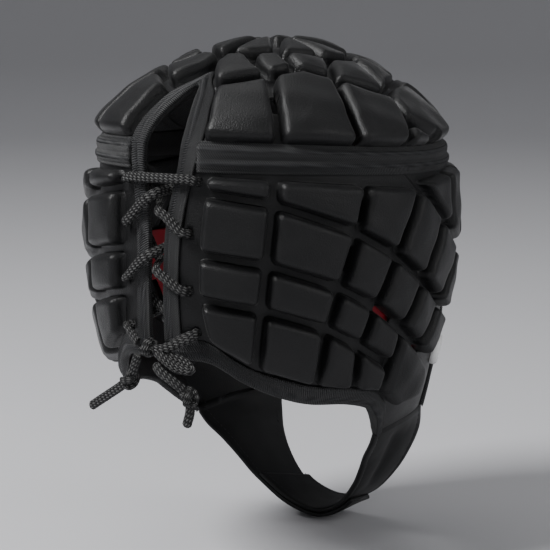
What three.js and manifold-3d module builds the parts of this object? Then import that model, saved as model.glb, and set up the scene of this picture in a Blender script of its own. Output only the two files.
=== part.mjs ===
// A padded scrum cap: cloth panels with raised foam pads, ribbed tapes, a laced rear slit and a chin strap.
// Millimetres, +Z up, the face looks along -Y and the lacing is at +Y.
// The origin is on the inner face of the crown, where the cap rests on the head.
//
// Two charts cover the cap. `turn` is the angle in degrees from the rear centre towards the wearer's right.
// Below the band seam a point is wall(turn, level), with the level in hundredths of DROP above the seam
// plane. Above it a point is crown(turn, climb), with climb 0 at the band seam and 90 at the top.
// A third value is the lift off the outer cloth in mm.
import * as THREE from "three";
import Module from "manifold-3d";

const wasm = await Module();
wasm.setup();
const DEG = Math.PI / 180;

const HALF_WIDTH = 76; // of the cloth at the band, ear to ear
const HALF_LENGTH = 97; // of the cloth at the band, brow to rear
const CROWN_RISE = 48.5; // from the seam plane to the top of the cloth
const DROP = 100; // from the seam plane to the hem below the ear
const CLOTH_THICK = 1.5; // the quilted cloth between pads
const PAD = { rim: 6.6, top: 7.6 }; // height of a pad over the cloth at its rim and middle
const GROOVE = 3.4; // from a seam to the rim of the pad beside it
const TAPE = { width: 7.8, raised: 1.6, ridge: 2.1 }; // ribbed tape, and its height over the cloth
const STRAP_THICK = 2.4;
const LINING = { thick: 1, behind: 1.5 }; // the ear lining and its distance inside the cloth
const LACE = { across: 4.6, sides: 8, routeSides: 6, step: 5, clear: 0.5 };
const SEAM_GAP = 0.6; // between neighbouring pieces that are sewn together
const HEAD_TOP = CROWN_RISE - CLOTH_THICK; // the origin, over the seam plane

// The head form: half width as a share of HALF_WIDTH, front and rear reach as shares of HALF_LENGTH, and
// how square its front and rear curves are (2 is an ellipse).
const LEVELS = [
  { level: 20, width: 0.993, front: 0.985, rear: 0.99, frontPower: 2.0, rearPower: 2.0 },
  { level: 0, width: 1, front: 0.995, rear: 1, frontPower: 2.0, rearPower: 2.0 },
  { level: -32, width: 1.013, front: 1.015, rear: 1.03, frontPower: 2.0, rearPower: 1.95 },
  { level: -58, width: 1.007, front: 1.01, rear: 1.04, frontPower: 2.0, rearPower: 1.85 },
  { level: -84, width: 0.967, front: 0.98, rear: 1.03, frontPower: 2.05, rearPower: 1.7 },
  { level: -110, width: 0.85, front: 0.99, rear: 0.99, frontPower: 2.2, rearPower: 1.6 },
  { level: -140, width: 0.63, front: 1.04, rear: 0.9, frontPower: 2.6, rearPower: 1.6 },
];

// A smooth value of one named column at a level.
function formAt(level, name) {
  const n = LEVELS.length;
  let k = 0;
  while (k < n - 2 && level < LEVELS[k + 1].level) k++;
  const at = (i) => LEVELS[Math.min(n - 1, Math.max(0, i))];
  const slope = (i) =>
    (at(i + 1)[name] - at(i - 1)[name]) / (at(i + 1).level - at(i - 1).level);
  const span = at(k + 1).level - at(k).level;
  const s = (level - at(k).level) / span;
  return (
    (2 * s ** 3 - 3 * s ** 2 + 1) * at(k)[name] +
    (s ** 3 - 2 * s ** 2 + s) * span * slope(k) +
    (3 * s ** 2 - 2 * s ** 3) * at(k + 1)[name] +
    (s ** 3 - s ** 2) * span * slope(k + 1)
  );
}

// The band seam runs higher at the rear than at the forehead, and sags a little over the ears.
const SEAM = { tilt: 4.5, sag: 0.9 };
const seamLevel = (turn) => SEAM.tilt * Math.cos(turn * DEG) + SEAM.sag * Math.cos(2 * turn * DEG);

// The plan outline at a level, as x and y.
function plan(turn, level) {
  const c = Math.cos(turn * DEG),
    s = Math.sin(turn * DEG);
  const reach = HALF_LENGTH * formAt(level, c > 0 ? "rear" : "front");
  const width = HALF_WIDTH * formAt(level, "width");
  const power = formAt(level, c > 0 ? "rearPower" : "frontPower");
  const r =
    ((Math.abs(s) / width) ** power + (Math.abs(c) / reach) ** power) ** (-1 / power);
  return [-r * s, r * c];
}

function wallCloth(turn, level) {
  const [x, y] = plan(turn, level);
  return new THREE.Vector3(x, y, (level * DROP) / 100);
}

// The crown's vertical sections are straighter than ellipses, most of all over the ears.
const ROUNDNESS = { ears: 1.45, middle: 1.65 };
function crownCloth(turn, climb) {
  const roundness =
    ROUNDNESS.ears + (ROUNDNESS.middle - ROUNDNESS.ears) * Math.cos(turn * DEG) ** 2;
  const t = Math.min(90, Math.max(0, climb)) * DEG;
  const k = Math.max(0, Math.cos(t)) ** (2 / roundness);
  const h = Math.sin(t) ** (2 / roundness);
  const [x, y] = plan(turn, 0);
  return new THREE.Vector3(x * k, y * k, ((seamLevel(turn) * DROP) / 100) * k + CROWN_RISE * h);
}

// A point lifted off the cloth along its outward normal, in the frame of the origin.
function lifted(cloth, u, v, lift, dv) {
  const p = cloth(u, v);
  if (lift) {
    const du = cloth(u + 0.4, v).sub(cloth(u - 0.4, v));
    const dw = cloth(u, v + dv).sub(cloth(u, v - dv));
    const n = du.cross(dw).normalize();
    const out = new THREE.Vector3(p.x, p.y, cloth === crownCloth ? p.z + 30 : 0);
    p.addScaledVector(n, n.dot(out) < 0 ? -lift : lift);
  }
  p.z -= HEAD_TOP;
  return p;
}
const wall = (turn, level, lift = 0) => lifted(wallCloth, turn, level, lift, 0.4);
const crown = (turn, climb, lift = 0) =>
  climb > 88.5
    ? new THREE.Vector3(0, 0, CROWN_RISE + lift - HEAD_TOP)
    : lifted(crownCloth, turn, Math.max(0.6, climb), lift, 0.5);

// A closed solid from patches of outer and inner points; open rims get a wall between the two faces.
class Shell {
  constructor() {
    this.ids = new Map();
    this.outer = [];
    this.inner = [];
    this.faces = [];
  }
  vertex(outer, inner) {
    const key = [outer, inner]
      .map((p) => p.toArray().map((v) => Math.round(v * 200) + 0))
      .join();
    if (!this.ids.has(key)) {
      this.ids.set(key, this.outer.length);
      this.outer.push(outer);
      this.inner.push(inner);
    }
    return this.ids.get(key);
  }
  face(a, b, c) {
    if (a !== b && b !== c && c !== a) this.faces.push([a, b, c]);
  }
  // grid[row][column] holds vertex ids; keep(row, column) says which cells are there.
  patch(grid, keep = () => true) {
    for (let r = 0; r + 1 < grid.length; r++)
      for (let c = 0; c + 1 < grid[r].length; c++) {
        if (!keep(r, c)) continue;
        const [a, b, d, e] = [grid[r][c], grid[r][c + 1], grid[r + 1][c + 1], grid[r + 1][c]];
        this.face(a, b, d);
        this.face(a, d, e);
      }
  }
  // A second copy reflected in the plane x = 0, joined where the two touch.
  reflect() {
    const flip = (p) => new THREE.Vector3(-p.x, p.y, p.z);
    const twin = this.outer.map((p, i) => [flip(p), flip(this.inner[i])]);
    const map = twin.map(([o, i]) => this.vertex(o, i));
    for (const [a, b, c] of [...this.faces]) this.face(map[a], map[c], map[b]);
    return this;
  }
  geometry() {
    const n = this.outer.length;
    const tri = [];
    const seen = new Set();
    for (const f of this.faces)
      f.forEach((a, i) => seen.add(a + "_" + f[(i + 1) % 3]));
    for (const [a, b, c] of this.faces) {
      tri.push(a, b, c, n + a, n + c, n + b);
      [[a, b], [b, c], [c, a]].forEach(([p, q]) => {
        if (!seen.has(q + "_" + p)) tri.push(q, p, n + p, q, n + p, n + q);
      });
    }
    const g = new THREE.BufferGeometry();
    g.setAttribute(
      "position",
      new THREE.Float32BufferAttribute(
        [...this.outer, ...this.inner].flatMap((p) => p.toArray()),
        3,
      ),
    );
    g.setIndex(tri);
    return outward(g);
  }
}

function outward(g) {
  const p = g.getAttribute("position").array,
    t = g.getIndex().array;
  let volume = 0;
  for (let i = 0; i < t.length; i += 3) {
    const [a, b, c] = [0, 1, 2].map((k) =>
      new THREE.Vector3().fromArray(p, 3 * t[i + k]),
    );
    volume += a.dot(b.cross(c));
  }
  if (volume < 0)
    for (let i = 0; i < t.length; i += 3) [t[i + 1], t[i + 2]] = [t[i + 2], t[i + 1]];
  return g;
}

// Fractions along a seam edge: the seam, the pad rim, a middle where asked, the far rim, the next seam.
// "plain" has neither rim and "halved" only a middle; "first" and "last" have only the rim at that end.
function breaks(length, middles) {
  const rim = Math.min(0.34, GROOVE / length);
  if (middles === "plain") return [0, 1];
  if (middles === "halved") return [0, 0.5, 1];
  if (middles === "first") return [0, rim, 1];
  if (middles === "last") return [0, 1 - rim, 1];
  const out = [0, rim];
  for (let i = 1; i <= middles; i++)
    out.push(rim + ((1 - 2 * rim) * i) / (middles + 1));
  return [...out, 1 - rim, 1];
}

// A quilted panel. seams[row][column] = [turn, height] where a row seam meets a column seam.
// pads[row] has a mark per cell: a letter for a pad (cells with one letter are one pad), "." for bare
// cloth, " " for no cloth.
function quilt({ seams, pads, cloth, rowMiddles, columnMiddles }) {
  const shell = new Shell();
  const mark = (r, c) => (pads[r] && pads[r][c]) || " ";
  const rows = pads.length,
    cols = pads[0].length;
  const grids = new Map();
  const spread = (p, q) => cloth(...p).distanceTo(cloth(...q));
  for (let r = 0; r < rows; r++)
    for (let c = 0; c < cols; c++) {
      if (mark(r, c) === " ") continue;
      const [p, q, s, w] = [seams[r][c], seams[r][c + 1], seams[r + 1][c], seams[r + 1][c + 1]];
      const top = breaks(spread(p, q), columnMiddles[c]);
      const low = breaks(spread(s, w), columnMiddles[c]);
      const left = breaks(spread(p, s), rowMiddles[r]);
      const right = breaks(spread(q, w), rowMiddles[r]);
      const grid = left.map((_, j) =>
        top.map((_, i) => {
          const vm = (left[j] + right[j]) / 2,
            um = (top[i] + low[i]) / 2;
          const u = top[i] * (1 - vm) + low[i] * vm,
            v = left[j] * (1 - um) + right[j] * um;
          const at = (k) =>
            (p[k] * (1 - u) + q[k] * u) * (1 - v) + (s[k] * (1 - u) + w[k] * u) * v;
          const touching = [];
          for (const dr of j === 0 ? [-1, 0] : j === left.length - 1 ? [0, 1] : [0])
            for (const dc of i === 0 ? [-1, 0] : i === top.length - 1 ? [0, 1] : [0])
              touching.push(mark(r + dr, c + dc));
          const raised =
            touching.every((m) => m === touching[0]) && /[A-Za-z]/.test(touching[0]);
          const middle = raised && i > 1 && i < top.length - 2;
          const lift = raised ? (middle ? PAD.top : PAD.rim) : 0;
          const point = [at(0), at(1)];
          return shell.vertex(cloth(...point, lift), cloth(...point, -CLOTH_THICK));
        }),
      );
      grids.set(r + "," + c, grid);
    }
  for (const grid of grids.values()) shell.patch(grid);
  return shell;
}

// A flat strip between two edge lines on a chart, `across` cells wide.
const TAPE_FACES = { inner: -CLOTH_THICK, outer: TAPE.raised };
function ribbon(rows, { across = 2, lift = TAPE_FACES, half = false } = {}) {
  const shell = new Shell();
  const grid = rows.map(({ cloth, from, to }) =>
    Array.from({ length: across + 1 }, (_, i) => {
      const k = i / across;
      const p = from.map((v, j) => v * (1 - k) + to[j] * k);
      return shell.vertex(cloth(...p, lift.outer), cloth(...p, lift.inner));
    }),
  );
  shell.patch(grid);
  return half ? shell.reflect() : shell;
}

// Closed geometry to a manifold solid and back.
function toSolid(g) {
  return new wasm.Manifold(
    new wasm.Mesh({
      numProp: 3,
      vertProperties: new Float32Array(g.getAttribute("position").array),
      triVerts: new Uint32Array(g.getIndex().array),
    }),
  );
}
function fromSolid(solid) {
  const m = solid.getMesh();
  const g = new THREE.BufferGeometry();
  const p = [];
  for (let i = 0; i < m.numVert; i++)
    p.push(...m.vertProperties.subarray(i * m.numProp, i * m.numProp + 3));
  g.setAttribute("position", new THREE.Float32BufferAttribute(p, 3));
  g.setIndex([...m.triVerts]);
  return g;
}

// Crown, right half: seams as [turn, climb] from the slit tape (left) to the middle of the forehead.
const CROWN_SEAMS = [
  [[10.9, 9.9], [32.6, 9.9], [45, 9.9], [59.6, 9.9], [84.5, 9.9], [107, 9.9], [133, 9.9], [157, 9.9], [180, 9.9]],
  [[11.2, 22], [31.8, 26], [44.5, 26], [59.2, 26], [91.5, 25], [108.5, 12.5], [133, 23], [157, 23], [180, 23]],
  [[8.9, 39], [28.8, 46.8], [43, 51], [62, 46.4], [96.5, 37.5], [112, 42], [133, 42], [157, 42], [180, 43]],
  [[0, 52], [21, 54], [38, 57], [71, 54], [107, 48.5], [122, 51], [136, 51], [160, 51], [180, 52]],
  [[0, 59.5], [14.5, 60.5], [33, 63], [79, 60.5], [118, 58.5], [132, 59], [146, 59.5], [163, 60], [180, 60]],
  [[0, 84], [14.5, 84], [33, 84], [79, 84], [118, 84], [132, 84], [146, 84], [163, 84], [180, 84]],
  [[0, 90], [14.5, 90], [33, 90], [79, 90], [118, 90], [132, 90], [146, 90], [163, 90], [180, 90]],
];
const CROWN_PADS = ["ABBCDEFG", "ABBCEEFG", "HIJKLLMM", "HIJKLLMM", "NNOPPQQQ", "........"];

// Brow, right half: seams from the side of the head to the middle of the forehead, band edge downwards.
const underBand = (turn) => [turn, seamLevel(turn) - ((TAPE.width / 2 + SEAM_GAP) * 100) / DROP];
const BROW_SEAMS = [
  [underBand(81), underBand(112.8), underBand(133), underBand(152), underBand(180)],
  [[86.5, -9.5], [112.8, -8.2], [133, -8.5], [151.5, -8.5], [180, -9]],
  [[88.6, -11.8], [114.5, -38], [131, -49], [151, -39.5], [180, -33]],
];
const BROW_PADS = ["....", "abcd"];

// Side: seams as [turn, level] from the lacing to the face edge, band edge downwards to the cheek flap.
const SIDE_SEAMS = [
  [underBand(9.9), underBand(13), underBand(31.4), underBand(60.8), underBand(80.2), null, null, null, null],
  [[9.5, -1.5], [12.9, -1], [31.4, -2.9], [61, -7.6], [87.6, -12.2], [105, -29.2], [122, -46.2], [131, -50.2], [140, -46.2]],
  [[8.5, -9.5], [12.2, -10], [30.9, -15.4], [57.2, -30], [74, -42.3], [89.5, -56], [103, -69], [116.5, -78], [137, -76]],
  [[6.3, -36.5], [10.9, -37.3], [29.1, -42.5], [50.7, -54.3], [65, -64.4], [79, -77], [92, -88], [105.5, -98], [136, -97]],
  [[6.1, -56.5], [10.8, -57.3], [27.6, -62.9], [47, -73], [60.3, -82.7], [77, -94.5], [93, -103], [109.5, -107], [139, -108]],
  [[6.6, -77], [12.8, -77.6], [25.3, -91.8], [44.3, -101.6], [60.8, -104.8], [76.5, -108.5], [91, -118.5], [112, -116], [143, -118]],
  [null, null, null, null, null, null, [105.5, -134.9], [122, -134], [147, -132.6]],
];
const SIDE_PADS = [
  "....    ",
  ".ABCDEX.",
  ".FGHIJY.",
  ".KLMNZZ.",
  ".OPQRZZ.",
  "      ..",
];

// Through slots in the grooves: where each runs, along a seam, and how wide it gapes.
const CROWN_SLOTS = [
  { from: [31.9, 29.5], to: [30.4, 38.5], width: 3.6 },
  { from: [59.4, 13], to: [60, 39.5], width: 4.2 },
];
const SIDE_SLOTS = [
  { from: [59.9, -15], to: [58.2, -25], width: 3.0 },
  { from: [55.4, -35.5], to: [52.6, -47], width: 3.4 },
  { from: [67.5, -66.4], to: [76.5, -74.8], width: 3.0 },
  { from: [94.8, -90.1], to: [102.5, -95.8], width: 3.6 },
];
const LACE_HOLE = { radius: LACE.across / 2 + 1.1, sides: 12 };
const EYELETS = {
  right: [[10.9, -5.2], [8.9, -28.4], [8.9, -54.2], [10.6, -73.2]],
  left: [[10.9, -5.6], [10.2, -25.4], [9.6, -50.2], [9.6, -72.4]],
};

// A frame on the cloth: along the seam, outward, and the third direction.
function frameOn(chart, at, along) {
  const p = chart(...at, 0),
    out = chart(...at, 5).sub(p).normalize();
  const x = along.clone().sub(p);
  x.addScaledVector(out, -x.dot(out)).normalize();
  return { p, x, out, y: new THREE.Vector3().crossVectors(out, x) };
}
function slotTool(chart, { from, to, width }) {
  const a = chart(...from, 0),
    b = chart(...to, 0);
  const mid = from.map((v, i) => (v + to[i]) / 2);
  const { p, x, out, y } = frameOn(chart, mid, b);
  const box = new THREE.BoxGeometry(a.distanceTo(b), width, 24);
  box.applyMatrix4(new THREE.Matrix4().makeBasis(x, y, out).setPosition(p));
  return toSolid(welded(box));
}
function holeTool(chart, at) {
  const { p, x, out, y } = frameOn(chart, at, chart(at[0] + 3, at[1], 0));
  const pin = new THREE.CylinderGeometry(LACE_HOLE.radius, LACE_HOLE.radius, 14, LACE_HOLE.sides);
  pin.rotateX(Math.PI / 2);
  pin.applyMatrix4(new THREE.Matrix4().makeBasis(x, y, out).setPosition(p));
  return toSolid(welded(pin));
}
// A primitive with its doubled corners merged, so that it is one closed surface.
function welded(g) {
  const p = g.getAttribute("position"),
    ids = new Map(),
    points = [],
    index = [];
  const name = (i) =>
    [p.getX(i), p.getY(i), p.getZ(i)].map((v) => Math.round(v * 5000) + 0).join();
  const corners = g.index ? [...g.index.array] : [...Array(p.count).keys()];
  for (const i of corners) {
    if (!ids.has(name(i))) {
      ids.set(name(i), points.length / 3);
      points.push(p.getX(i), p.getY(i), p.getZ(i));
    }
    index.push(ids.get(name(i)));
  }
  const out = new THREE.BufferGeometry();
  out.setAttribute("position", new THREE.Float32BufferAttribute(points, 3));
  const tri = [];
  for (let k = 0; k < index.length; k += 3)
    if (new Set(index.slice(k, k + 3)).size === 3) tri.push(...index.slice(k, k + 3));
  out.setIndex(tri);
  return outward(out);
}
const cut = (geometry, tools) =>
  fromSolid(tools.reduce((s, tool) => s.subtract(tool), toSolid(geometry)));
// The same chart with the turn counted towards the wearer's left.
const mirrored = (chart) => (turn, height, lift) => chart(-turn, height, lift);

const group = new THREE.Group();
const black = new THREE.MeshStandardMaterial({ color: 0x17181a, roughness: 0.75 });
function add(name, geometry, color) {
  const material = color ? new THREE.MeshStandardMaterial({ color, roughness: 0.7 }) : black;
  const mesh = new THREE.Mesh(geometry, material);
  mesh.name = name;
  group.add(mesh);
}

const crownSlots = CROWN_SLOTS.flatMap((slot) => [slotTool(crown, slot), slotTool(mirrored(crown), slot)]);
add(
  "crown_panel",
  cut(
    quilt({
      seams: CROWN_SEAMS,
      pads: CROWN_PADS,
      cloth: crown,
      rowMiddles: [0, 0, "first", "last", 0, "plain"],
      columnMiddles: [0, 0, 0, 1, 0, 1, 0, 1],
    }).reflect().geometry(),
    crownSlots,
  ),
);
add(
  "brow_panel",
  quilt({
    seams: BROW_SEAMS,
    pads: BROW_PADS,
    cloth: wall,
    rowMiddles: ["plain", 0],
    columnMiddles: [1, 0, 1, 1],
  }).reflect().geometry(),
);
for (const [side, chart] of [["right", wall], ["left", mirrored(wall)]])
  add(
    "side_panel_" + side,
    cut(
      quilt({
        seams: SIDE_SEAMS,
        pads: SIDE_PADS,
        cloth: chart,
        rowMiddles: ["plain", 0, 0, 0, 0, "plain"],
        columnMiddles: ["plain", 0, 1, 0, 0, 0, 0, "halved"],
      }).geometry(),
      [
        ...SIDE_SLOTS.map((slot) => slotTool(chart, slot)),
        ...EYELETS[side].map((at) => holeTool(chart, at)),
      ],
    ),
  );

// The band tape runs round from one side of the slit to the other, across both charts.
const BAND = { starts: 11.4, steps: 22, climbPower: 0.75 };
const climbFor = (height) => Math.asin((height / CROWN_RISE) ** BAND.climbPower) / DEG;
function bandShell() {
  const shell = new Shell();
  const profile = [-TAPE.width / 2, 0, TAPE.width / 2];
  const turns = Array.from(
    { length: BAND.steps + 1 },
    (_, i) => BAND.starts + ((180 - BAND.starts) * i) / BAND.steps,
  );
  const grid = turns.map((turn) =>
    profile.map((v) => {
      const at = (lift) =>
        v <= 0
          ? wall(turn, seamLevel(turn) + (v * 100) / DROP, lift)
          : crown(turn, climbFor(v), lift);
      return shell.vertex(at(v === 0 ? TAPE.ridge : TAPE.raised), at(-CLOTH_THICK));
    }),
  );
  shell.patch(grid);
  return shell.reflect();
}
add("band_tape", bandShell().geometry());

// Slit tape, right half, from the apex down to the hem: its free edge and its stitched edge.
const SLIT_ON_CROWN = [
  { free: [0, 43.5], sewn: [0, 51.2] },
  { free: [1.6, 41], sewn: [3.9, 45.4] },
  { free: [3, 35.5], sewn: [8.2, 38.4] },
  { free: [4.5, 28], sewn: [9.7, 30] },
  { free: [5.5, 19], sewn: [10.8, 20] },
  { free: [5.7, 9], sewn: [10.6, 9.5] },
];
const SLIT_ON_WALL = [
  { free: [5.3, 2], sewn: [9.5, 2] },
  { free: [4.2, -8], sewn: [8.2, -8] },
  { free: [2.9, -19], sewn: [6.9, -19] },
  { free: [2.2, -33], sewn: [6.0, -33] },
  { free: [2.0, -54], sewn: [5.7, -54] },
  { free: [2.1, -77.6], sewn: [6.1, -77.6] },
];
const tapeRows = (table, cloth) => table.map(({ free, sewn }) => ({ cloth, from: free, to: sewn }));
add(
  "slit_binding",
  ribbon([...tapeRows(SLIT_ON_CROWN, crown), ...tapeRows(SLIT_ON_WALL, wall)], { half: true }).geometry(),
);

// Hem binding from the lacing to the foot of the cheek flap, and face binding from the brow to the flap.
const HEM_EDGE = [
  { sewn: [2.4, -78.4], free: [2.4, -85] },
  { sewn: [7.5, -78.4], free: [7.5, -86] },
  { sewn: [13, -79], free: [14, -88] },
  { sewn: [20, -87.4], free: [21.2, -96.5] },
  { sewn: [26, -93.3], free: [27, -101.8] },
  { sewn: [35, -98.5], free: [35, -107] },
  { sewn: [45, -102.8], free: [45, -110.8] },
  { sewn: [60.8, -105.8], free: [60.8, -113] },
  { sewn: [76.2, -109.5], free: [75, -117.2] },
  { sewn: [83, -114.2], free: [80.5, -121.2] },
  { sewn: [90.4, -119.6], free: [87.3, -127] },
  { sewn: [98, -127.4], free: [94.2, -132] },
  { sewn: [104.6, -134.9], free: [99.6, -135.2] },
];
const FACE_EDGE = [
  { sewn: [180, -33.6], free: [180, -38.6] },
  { sewn: [165.5, -37], free: [165.5, -42] },
  { sewn: [151.4, -40.2], free: [152.5, -45.4] },
  { sewn: [145.5, -43.4], free: [148, -48.8] },
  { sewn: [141.2, -47.6], free: [145, -54.8] },
  { sewn: [139.7, -60], free: [143.6, -62] },
  { sewn: [138, -76], free: [141.6, -76] },
  { sewn: [137, -96.6], free: [140.6, -95.6] },
  { sewn: [140, -107.8], free: [143.4, -106] },
  { sewn: [144, -117.8], free: [147.2, -116.5] },
  { sewn: [146.2, -125], free: [149.3, -124.8] },
  { sewn: [148, -132.5], free: [151, -132.4] },
];
for (const [side, chart] of [["right", wall], ["left", mirrored(wall)]])
  add("hem_binding_" + side, ribbon(tapeRows(HEM_EDGE, chart), { across: 1 }).geometry());
add("face_binding", ribbon(tapeRows(FACE_EDGE, wall), { across: 1, half: true }).geometry());

// The red lining inside each ear zone.
const EAR_LINING = {
  turn: [76, 126],
  level: [-26, -96],
  inner: -CLOTH_THICK - LINING.behind - LINING.thick,
  outer: -CLOTH_THICK - LINING.behind,
};
for (const [side, chart] of [["right", wall], ["left", mirrored(wall)]])
  add(
    "ear_lining_" + side,
    ribbon(
      [0, 1, 2, 3, 4, 5].map((k) => {
        const level = EAR_LINING.level[0] + ((EAR_LINING.level[1] - EAR_LINING.level[0]) * k) / 5;
        return { cloth: chart, from: [EAR_LINING.turn[0], level], to: [EAR_LINING.turn[1], level] };
      }),
      { across: 7, lift: EAR_LINING },
    ).geometry(),
    0xb01220,
  );

// Sections of the strap from the foot of the flap to under the chin, right side: rear edge and front edge
// as shares of HALF_WIDTH and HALF_LENGTH and a level.
const FLAP_FOOT = { rear: [99.8, -135.7], front: [150.8, -133.05] };
const STRAP = [
  { rear: [-0.612, -0.118, -142.5], front: [-0.534, -0.746, -144] },
  { rear: [-0.526, -0.175, -150.5], front: [-0.492, -0.718, -154.5] },
  { rear: [-0.447, -0.242, -159], front: [-0.403, -0.705, -166] },
  { rear: [-0.355, -0.299, -169], front: [-0.27, -0.693, -177.2] },
  { rear: [-0.197, -0.361, -181], front: [-0.132, -0.689, -182.6] },
  { rear: [0, -0.392, -186.4], front: [0, -0.687, -184.4] },
];
// The whole loop has the right foot as section 0, the chin in the middle and the left foot last.
const LAST = 2 * STRAP.length;
// A point across section k: curved with the flap at its foot, and straight between its edges elsewhere.
function acrossStrap(k, v) {
  const left = k > LAST / 2;
  const i = left ? LAST - k : k;
  const along = (a, b) => a.map((value, j) => value + (b[j] - value) * v);
  if (i === 0) {
    const p = wall(...along(FLAP_FOOT.rear, FLAP_FOOT.front));
    return left ? new THREE.Vector3(-p.x, p.y, p.z) : p;
  }
  const [x, y, level] = along(STRAP[i - 1].rear, STRAP[i - 1].front);
  return new THREE.Vector3(
    (left ? -x : x) * HALF_WIDTH,
    y * HALF_LENGTH,
    (level * DROP) / 100 - HEAD_TOP,
  );
}
// A point of the strap at section k (fractions allowed) and share w across, moved outward by offset.
const STRAP_MIDDLE = new THREE.Vector3(0, -0.41 * HALF_LENGTH, -1.5 * DROP - HEAD_TOP);
function strapPoint(k, w, offset) {
  const at = (s, v) => {
    const i = Math.min(LAST - 1, Math.max(0, Math.floor(s)));
    return acrossStrap(i, v).lerp(acrossStrap(i + 1, v), s - i);
  };
  const p = at(k, w);
  const along = at(Math.min(LAST, k + 0.5), w).sub(at(Math.max(0, k - 0.5), w));
  const over = at(k, Math.min(1, w + 0.2)).sub(at(k, Math.max(0, w - 0.2)));
  const n = along.cross(over).normalize();
  if (n.dot(p.clone().sub(STRAP_MIDDLE)) < 0) n.negate();
  return p.addScaledVector(n, offset);
}
function strapShell(from, to, offset, across = 3) {
  const shell = new Shell();
  const steps = Math.ceil((to - from) * 2);
  const grid = Array.from({ length: steps + 1 }, (_, j) => {
    const k = from + ((to - from) * j) / steps;
    return Array.from({ length: across + 1 }, (_, i) =>
      shell.vertex(
        strapPoint(k, i / across, offset(k) + STRAP_THICK / 2),
        strapPoint(k, i / across, offset(k) - STRAP_THICK / 2),
      ),
    );
  });
  shell.patch(grid);
  return shell;
}
// The left half lies outside the right half where they lap under the chin.
const LAP = { rightEnds: 8, leftEnds: 4.5, offset: STRAP_THICK + 0.5, easesFrom: 8.3, easesTo: 10.7 };
add("chin_strap_right", strapShell(0, LAP.rightEnds, () => 0).geometry());
add(
  "chin_strap_left",
  strapShell(
    LAP.leftEnds,
    LAST,
    (k) => LAP.offset * (1 - THREE.MathUtils.smoothstep(k, LAP.easesFrom, LAP.easesTo)),
  ).geometry(),
);

// Lift of the lace's middle where it lies on a tape, and where it runs inside the cap.
const OVER = TAPE.raised + LACE.across / 2 + LACE.clear;
const UNDER = -CLOTH_THICK - LACE.across / 2 - LACE.clear;

// A round cord along a smooth curve through the points.
function cord(points, sides = LACE.sides) {
  const extrudePath = new THREE.CatmullRomCurve3(points, false, "centripetal");
  const section = new THREE.Shape().absarc(0, 0, LACE.across / 2, 0, 2 * Math.PI);
  const steps = Math.round(extrudePath.getLength() / LACE.step);
  const curveSegments = sides / 2;
  const options = { steps, curveSegments, bevelEnabled: false, extrudePath };
  return welded(new THREE.ExtrudeGeometry(section, options));
}

// Stations of the lace as [turn, level, lift]; turn is negative on the wearer's left.
const negative = ([turn, level]) => [-turn, level];
const [LEFT_1, LEFT_2, LEFT_3, LEFT_4] = EYELETS.left.map(negative);
const [RIGHT_1, RIGHT_2, RIGHT_3, RIGHT_4] = EYELETS.right;
// Over the tape and down through a hole, and the same the other way with the hole above the inside run.
const dive = ([turn, level]) => [
  [turn * 0.84, level + 0.8, OVER],
  [turn * 0.985, level + 0.1, OVER - 1.2],
  [turn, level, OVER - 5],
  [turn * 0.97, level - 0.7, UNDER + 0.5],
  [turn * 0.88, level - 2, UNDER - 0.2],
];
const emerge = (hole) => dive(hole).reverse().map(([t, l, lift]) => [t, 2 * hole[1] - l, lift]);
// From the left end of the top bar, hole by hole, and from its right end.
const ROUTE_A = [
  ...dive(LEFT_1),
  [-5, -10.5, UNDER],
  [-2.6, -13.5, UNDER - 0.4],
  [-1, -15.6, -3.2],
  [0.2, -17.4, 1],
  [1.2, -18.8, OVER],
  [3.2, -20.8, OVER + 0.2],
  ...dive(RIGHT_2),
  [3.6, -33.4, UNDER - 0.5],
  [1.0, -35.4, -3.9],
  [0.2, -37, 0.8],
  [-1.2, -38.9, OVER + 0.3],
  [-3.2, -41.6, OVER + 0.6],
  ...dive(LEFT_3),
  [-5.2, -57, UNDER],
  [0, -63.5, UNDER],
  [5.2, -69.5, UNDER],
  ...emerge(RIGHT_4),
  [6.4, -76.4, OVER + 0.6],
  [4.7, -78.1, OVER + 1.6],
];
const ROUTE_B = [
  ...dive(RIGHT_1),
  [5, -8.2, UNDER - 0.1],
  [3.2, -8.8, -4.5],
  [1.4, -9.6, -1],
  [0.4, -10.9, OVER],
  [-1.2, -13.2, OVER + 1.8],
  [-3.8, -16.2, OVER + 0.8],
  ...dive(LEFT_2),
  [-5.4, -32, UNDER - 0.4],
  [-2.8, -38.4, UNDER - 0.5],
  [-1.1, -41, -4.6],
  [0, -43.2, 0.2],
  [1.2, -45.2, OVER - 0.1],
  [3.4, -48.2, OVER + 0.3],
  ...dive(RIGHT_3),
  [4.6, -59.4, UNDER - 1],
  [0.6, -62.6, -9.6],
  [-4, -66, -6.5],
  ...emerge(LEFT_4),
  [-5.6, -76, OVER + 0.8],
  [-3.5, -78.3, OVER + 1.8],
];
const onCap = ([turn, level, lift]) => {
  const p = wall(Math.abs(turn), level, lift);
  return new THREE.Vector3(turn < 0 ? -p.x : p.x, p.y, p.z);
};
const topBar = [
  [RIGHT_1[0] * 0.84, RIGHT_1[1] + 0.8, OVER],
  [4, -4.2, OVER + 0.4],
  [-4, -4.4, OVER + 0.4],
  [LEFT_1[0] * 0.84, LEFT_1[1] + 0.8, OVER],
];
add(
  "lace_route",
  cord(
    [...[...ROUTE_A].reverse(), ...topBar.slice(1, 3).reverse(), ...ROUTE_B].map(onCap),
    LACE.routeSides,
  ),
);

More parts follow.
